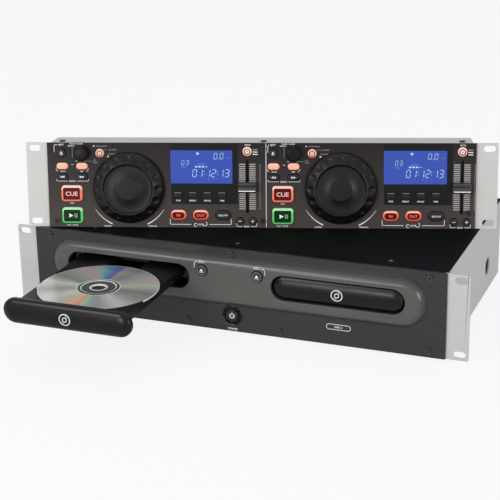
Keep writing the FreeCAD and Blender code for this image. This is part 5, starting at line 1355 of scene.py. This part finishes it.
# %% Scale rule
def comb_rule():
    rule = Rule("fader_scale", {"Marks": "Int", "Step": "Float", "Length": "Float",
                                "Width": "Float", "Spacing": "Float"})
    mark = rule.node("GeometryNodeMeshCube", {}, {
        "Size": rule.vector(X=rule.given("Length"), Y=INK, Z=rule.given("Width"))})
    column = rule.node("GeometryNodeMeshLine", {}, {
        "Count": rule.given("Marks"), "Offset": rule.vector(Z=rule.given("Step"))})
    comb = rule.node("GeometryNodeInstanceOnPoints", {}, {"Points": column, "Instance": mark})
    pair = rule.node("GeometryNodeMeshLine", {}, {
        "Count": 2, "Offset": rule.vector(X=rule.given("Spacing"))})
    rule.close(rule.node("GeometryNodeInstanceOnPoints", {}, {"Points": pair, "Instance": comb}))
    return rule


COMBS = comb_rule()

# %% [markdown]
# ## Laying the scales
# The rule takes nothing but numbers, so it grows from an empty mesh, once for each deck.

# %% Fader scales
SCALE_LEFT, SCALE_FOOT = -5.2, 19.9
for name, middle in DECKS:
    mesh = COMBS.grow(bpy.data.meshes.new("scale"), {
        "Marks": 22, "Step": 2.2, "Length": 6.4, "Width": 1.15, "Spacing": 10.4,
        "Finish": scale_ink})
    mesh.transform(SEAT @ Matrix.Translation((middle + FADER[0] + SCALE_LEFT, -INK, SCALE_FOOT)))
    scale = add_piece(f"fader_scale_{name}", mesh, "control_unit")
    print(scale.name, len(mesh.polygons), "faces")

# %% [markdown]
# ## Tray doors
# A tray door is a level bullnose whose front is crowned like a pillow, so that a lamp draws one
# soft band along it.  Its section is half an ellipse with a straight side behind it, swept round a
# capsule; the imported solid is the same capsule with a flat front.

# %% Tray doors
DECK_HALF = 111.75
DOOR_UP, DOOR_HALF, DOOR_RADIUS, DOOR_BACK = 11.35, 67.75, 12.6, -2.0
DOOR_CROWN = 5.0
DOOR_STEPS, DOOR_RINGS, LAST_RING = 24, 16, 0.985
DOORS = (("left", -1, -138.5), ("right", 1, 0.0))


def door_drop(reach):
    """How far the door's front lies back at a distance from its middle line."""
    share = min(reach / DOOR_RADIUS, 1.0)
    return DOOR_CROWN * (1 - math.sqrt(1 - share * share))


def tray_door(name, side, out):
    outline = capsule_outline(side * DECK_HALF, DOOR_UP, DOOR_HALF, DOOR_RADIUS, DOOR_STEPS)
    section = [(DOOR_BACK + out, 0.0)]
    for number in range(DOOR_RINGS + 1):
        reach = DOOR_RADIUS * math.cos(math.pi / 2 * number / DOOR_RINGS * LAST_RING)
        section.append((TRACK_FRONT + door_drop(reach) + out, DOOR_RADIUS - reach))
    shape = Shape(FLAT)
    shape.sweep(outline, section, [door_finish] * len(section))
    shape.stand_in(f"tray_door_{name}_crowned", f"tray_door_{name}", ROUND_SHARP_FROM)


for door in DOORS:
    tray_door(*door)

# %% [markdown]
# ## Print and trim of the drive unit
# Plain words and signs on the fascia, a ring icon on each door, and the outlined tray numbers.
# Print on a curved front is drawn flat and then laid on the curve, as a wet transfer would be.

# %% Drive print
PLATE_FRONT = -4.0
OPEN_ACROSS, OPEN_UP, OPEN_FRONT = 29.5, 20.85, -11.6
OPEN_LABEL_UP, TRAY_LABEL_UP, POWER_LABEL_UP = 29.4, -24.9, -41.3
OPEN_BRACKET = ((8.2, 22.6), (8.2, 27.6), (7.2, 28.9), (4.6, 29.3))
ICON_UP, ICON_ARCS = 10.6, (35, 215)


def open_print():
    shape = Shape(FLAT)
    for side in (-1, 1):
        words(shape, "OPEN", side * OPEN_ACROSS, OPEN_LABEL_UP, 2.1, TRACK_FRONT)
        bracket = [(side * (OPEN_ACROSS + x), z) for x, z in OPEN_BRACKET]
        shape.mark(stroke(bracket, 0.5), TRACK_FRONT)
    shape.drape(shoulder_drop)
    shape.piece("open_print", "drive_unit", "fascia")


def plate_print():
    shape = Shape(FLAT)
    for side, text in ((-1, "DISC 1"), (1, "DISC 2")):
        words(shape, text, side * DECK_HALF, TRAY_LABEL_UP, 2.0, PLATE_FRONT)
        shape.band(capsule_outline(side * DECK_HALF, TRAY_LABEL_UP, 12.6, 3.0), PLATE_FRONT, 0.55)
    words(shape, "POWER", 0, POWER_LABEL_UP, 2.2, PLATE_FRONT)
    shape.piece("fascia_print", "drive_unit", "fascia")


def door_icon(name, side, out):
    """A disc on its hub, as a plain sign for a tray."""
    shape = Shape(FLAT)
    x, z, face = side * DECK_HALF, ICON_UP, TRACK_FRONT + INK
    shape.band(disc_outline(x, z, 6.0), face, 0.9)
    shape.band(disc_outline(x, z, 2.5), face, 0.8)
    for start in ICON_ARCS:
        shape.mark(stroke(arc(x, z, 3.8, start, start + 45, 8), 0.5), face)
    shape.drape(lambda across, up: out + door_drop(abs(up - DOOR_UP)) - INK / 2)
    shape.piece(f"door_icon_{name}", f"tray_{name}", "tray_door")


open_print()
plate_print()
for door in DOORS:
    door_icon(*door)

# %% [markdown]
# ## Button signs
# The open buttons carry the same sign as the eject keys, and the power button sits in a glossy
# ring.  The ring is part of the fascia, while each sign rides on its button.

# %% Button signs
POWER_UP, POWER_FRONT = -26.55, -5.6
POWER_RING = ((-3.2, 6.8), (-3.2, 9.7), (-4.0, 10.1), (-4.45, 10.6), (-4.5, 11.0), (-4.3, 11.4),
              (-4.0, 11.6), (-3.6, 11.6))
ring = Shape(FLAT)
ring.loft([[(x, depth, z) for x, z in disc_outline(0, POWER_UP, radius)(0)]
           for depth, radius in POWER_RING], [gloss_black] * len(POWER_RING), (False, False))
ring.piece("power_ring", "drive_unit", "fascia", ROUND_SHARP_FROM)
for name, side in (("left", -1), ("right", 1)):
    sign = Shape(FLAT)
    sign.band(disc_outline(side * OPEN_ACROSS, OPEN_UP, 4.6), OPEN_FRONT, 0.4, faint_ink)
    eject_sign(sign, side * OPEN_ACROSS, OPEN_UP, 2.1, -0.9, 2.1, -2.2, OPEN_FRONT)
    sign.piece(f"open_sign_{name}", f"open_button_{name}", "round_button")
sign = Shape(FLAT)
sign.mark(stroke(arc(0, POWER_UP, 2.4, 130, 410, 20), 0.9), POWER_FRONT)
sign.mark(box(-0.45, 0.45, POWER_UP + 0.5, POWER_UP + 3.3), POWER_FRONT)
sign.piece("power_sign", "power_button", "round_button")

# %% [markdown]
# ## Screw crosses
# Every screw takes a cross driver.  The heads are found in the imported mesh, one island of it for
# each screw, and a rule puts a cross on the middle of each head.  The cross is a flat mark: on the
# fascia and the control unit it is dark, painted shade in the recess, and on the cover it is
# bright, a painted glint.

# %% Cross rule
def cross_rule():
    rule = Rule("screw_crosses", {"Geometry": "Geometry", "Length": "Float", "Width": "Float"})
    arms = [rule.node("GeometryNodeMeshCube", {}, {
        "Size": rule.vector(X=rule.given(across), Y=INK, Z=rule.given(up))})
        for across, up in (("Length", "Width"), ("Width", "Length"))]
    cross = rule.node("GeometryNodeJoinGeometry", {}, {"Geometry": arms})
    rule.close(rule.node("GeometryNodeInstanceOnPoints", {}, {
        "Points": rule.given("Geometry"), "Instance": cross}))
    return rule


CROSSES = cross_rule()

# %% [markdown]
# ## Finding the heads
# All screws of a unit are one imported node.  Points that are joined by edges belong to one screw,
# so a walk along the edges gathers each of them, and its foremost depth tells where its head is.

# %% Heads of the screws
def head_middles(node, seat, front):
    """Middles of the screw heads that stand in front of a plane, in the seat's millimetres."""
    work = merged(node)
    work.transform(seat.inverted())
    left = set(work.verts)
    middles = []
    while left:
        island, edge = set(), [left.pop()]
        while edge:
            here = edge.pop()
            island.add(here)
            near = [link.other_vert(here) for link in here.link_edges]
            edge += [vert for vert in near if vert in left]
            left -= set(near)
        across, depths, up = zip(*(vert.co for vert in island))
        if min(depths) < front:
            middles.append(((min(across) + max(across)) / 2, min(depths),
                            (min(up) + max(up)) / 2))
    work.free()
    return sorted(middles)


print(len(head_middles("drive_screws", FLAT, -4.2)), "screws in the fascia")

# %% [markdown]
# ## Crosses on the heads
# The crosses of the fascia and the control unit face forward.  Those of the cover face up, so their
# seat is the flat one laid on its back.

# %% Crosses on the heads
LYING = FLAT @ Matrix.Rotation(-math.pi / 2, 4, "X")
# Dark crosses are painted shade in the recesses; the cover's bright crosses are painted glints.
SCREWS = (("drive_screws_crosses", "drive_screws", FLAT, -4.2, slot_dark),
          ("cover_screws_crosses", "drive_screws", LYING, -43.0, bright_steel),
          ("control_screws_crosses", "control_screws", SEAT, -0.2, slot_dark))
for name, node, seat, front, finish in SCREWS:
    heads = bpy.data.meshes.new("heads")
    heads.from_pydata(head_middles(node, seat, front), [], [])
    mesh = CROSSES.grow(heads, {"Length": 3.4, "Width": 0.7, "Finish": finish})
    mesh.transform(seat)
    add_piece(name, mesh, BODY_OF[node])
    print(name, len(mesh.polygons), "faces")

# %% [markdown]
# ## The sky
# An even white sky.  It lights the room at part strength, and shows at full strength wherever a
# viewer sees it directly, in a mirror or through glass, so the background stays white.

# %% Sky
SKY_LIGHT = 0.62
WHITE = (1, 1, 1, 1)


def seen_rays(graph):
    """1 for the rays that a viewer sees directly, in a mirror or through glass."""
    camera_ray, glossy, through = (
        graph.node("ShaderNodeLightPath", {}, {}, f"Is {kind} Ray")
        for kind in ("Camera", "Glossy", "Transmission"))
    return graph.maths("MAXIMUM", graph.maths("MAXIMUM", camera_ray, glossy), through)


scene.world = bpy.data.worlds.new("sky")
scene.world.use_nodes = True
sky = Graph(scene.world.node_tree)
glows = [sky.node("ShaderNodeBackground", {}, {"Color": WHITE, "Strength": strength})
         for strength in (SKY_LIGHT, 1.0)]
mixed = sky.node("ShaderNodeMixShader", {}, {0: seen_rays(sky), 1: glows[0], 2: glows[1]})
sky.node("ShaderNodeOutputWorld", {}, {"Surface": mixed})
print("sky lights at", SKY_LIGHT)

# %% [markdown]
# ## The floor
# A white sweep under the feet.  It is a grey paper that takes the soft shadow, mixed with a glow
# for the rays that a viewer sees, so that it melts into the background.

# %% Floor
FLOOR_LEVEL, FLOOR_SIZE, FLOOR_GLOW = -0.04705, 8.0, 0.86


def floor_coat():
    finish = Finish("white_floor")
    paper = finish.node("ShaderNodeBsdfDiffuse", {}, {"Color": (0.72, 0.72, 0.72, 1)})
    glow = finish.node("ShaderNodeEmission", {}, {"Color": WHITE, "Strength": 1.0})
    return finish.show(finish.node("ShaderNodeMixShader", {}, {
        0: seen_rays(finish) * FLOOR_GLOW, 1: paper, 2: glow}))


work = bmesh.new()
bmesh.ops.create_grid(work, x_segments=1, y_segments=1, size=FLOOR_SIZE)
mesh = settled(work, "floor")
mesh.transform(Matrix.Translation((0, 0, FLOOR_LEVEL)))
mesh.materials.append(floor_coat())
floor = new_object("floor", mesh)
print("floor at", FLOOR_LEVEL)

# %% [markdown]
# ## Lamps
# Soft area lamps: a large one high on the left, a tall narrow one low on the right that draws a
# streak down the racetrack's end, a small one in front that draws the band along the doors, and a
# faint one overhead.  Colours render about as they are written.

# %% Lamps
LIGHTS = (("left_lamp", (-0.95, -1.9, 1.25), 0.8, 0.8, 20.0),
          ("right_lamp", (1.75, -1.35, 0.32), 0.3, 0.7, 14.0),
          ("low_lamp", (-0.4, -1.95, 0.2), 0.5, 0.5, 9.0),
          ("top_lamp", (0.0, 0.3, 2.0), 1.4, 1.4, 4.0))
for name, place, wide, tall, power in LIGHTS:
    light = bpy.data.lights.new(name, "AREA")
    light.shape = "RECTANGLE"
    light.size, light.size_y, light.energy = wide, tall, power
    thing = new_object(name, light)
    thing.location = place
    thing.rotation_mode = "QUATERNION"
    thing.rotation_quaternion = Vector(place).to_track_quat("Z", "Y")
    print(name, power, "watts")
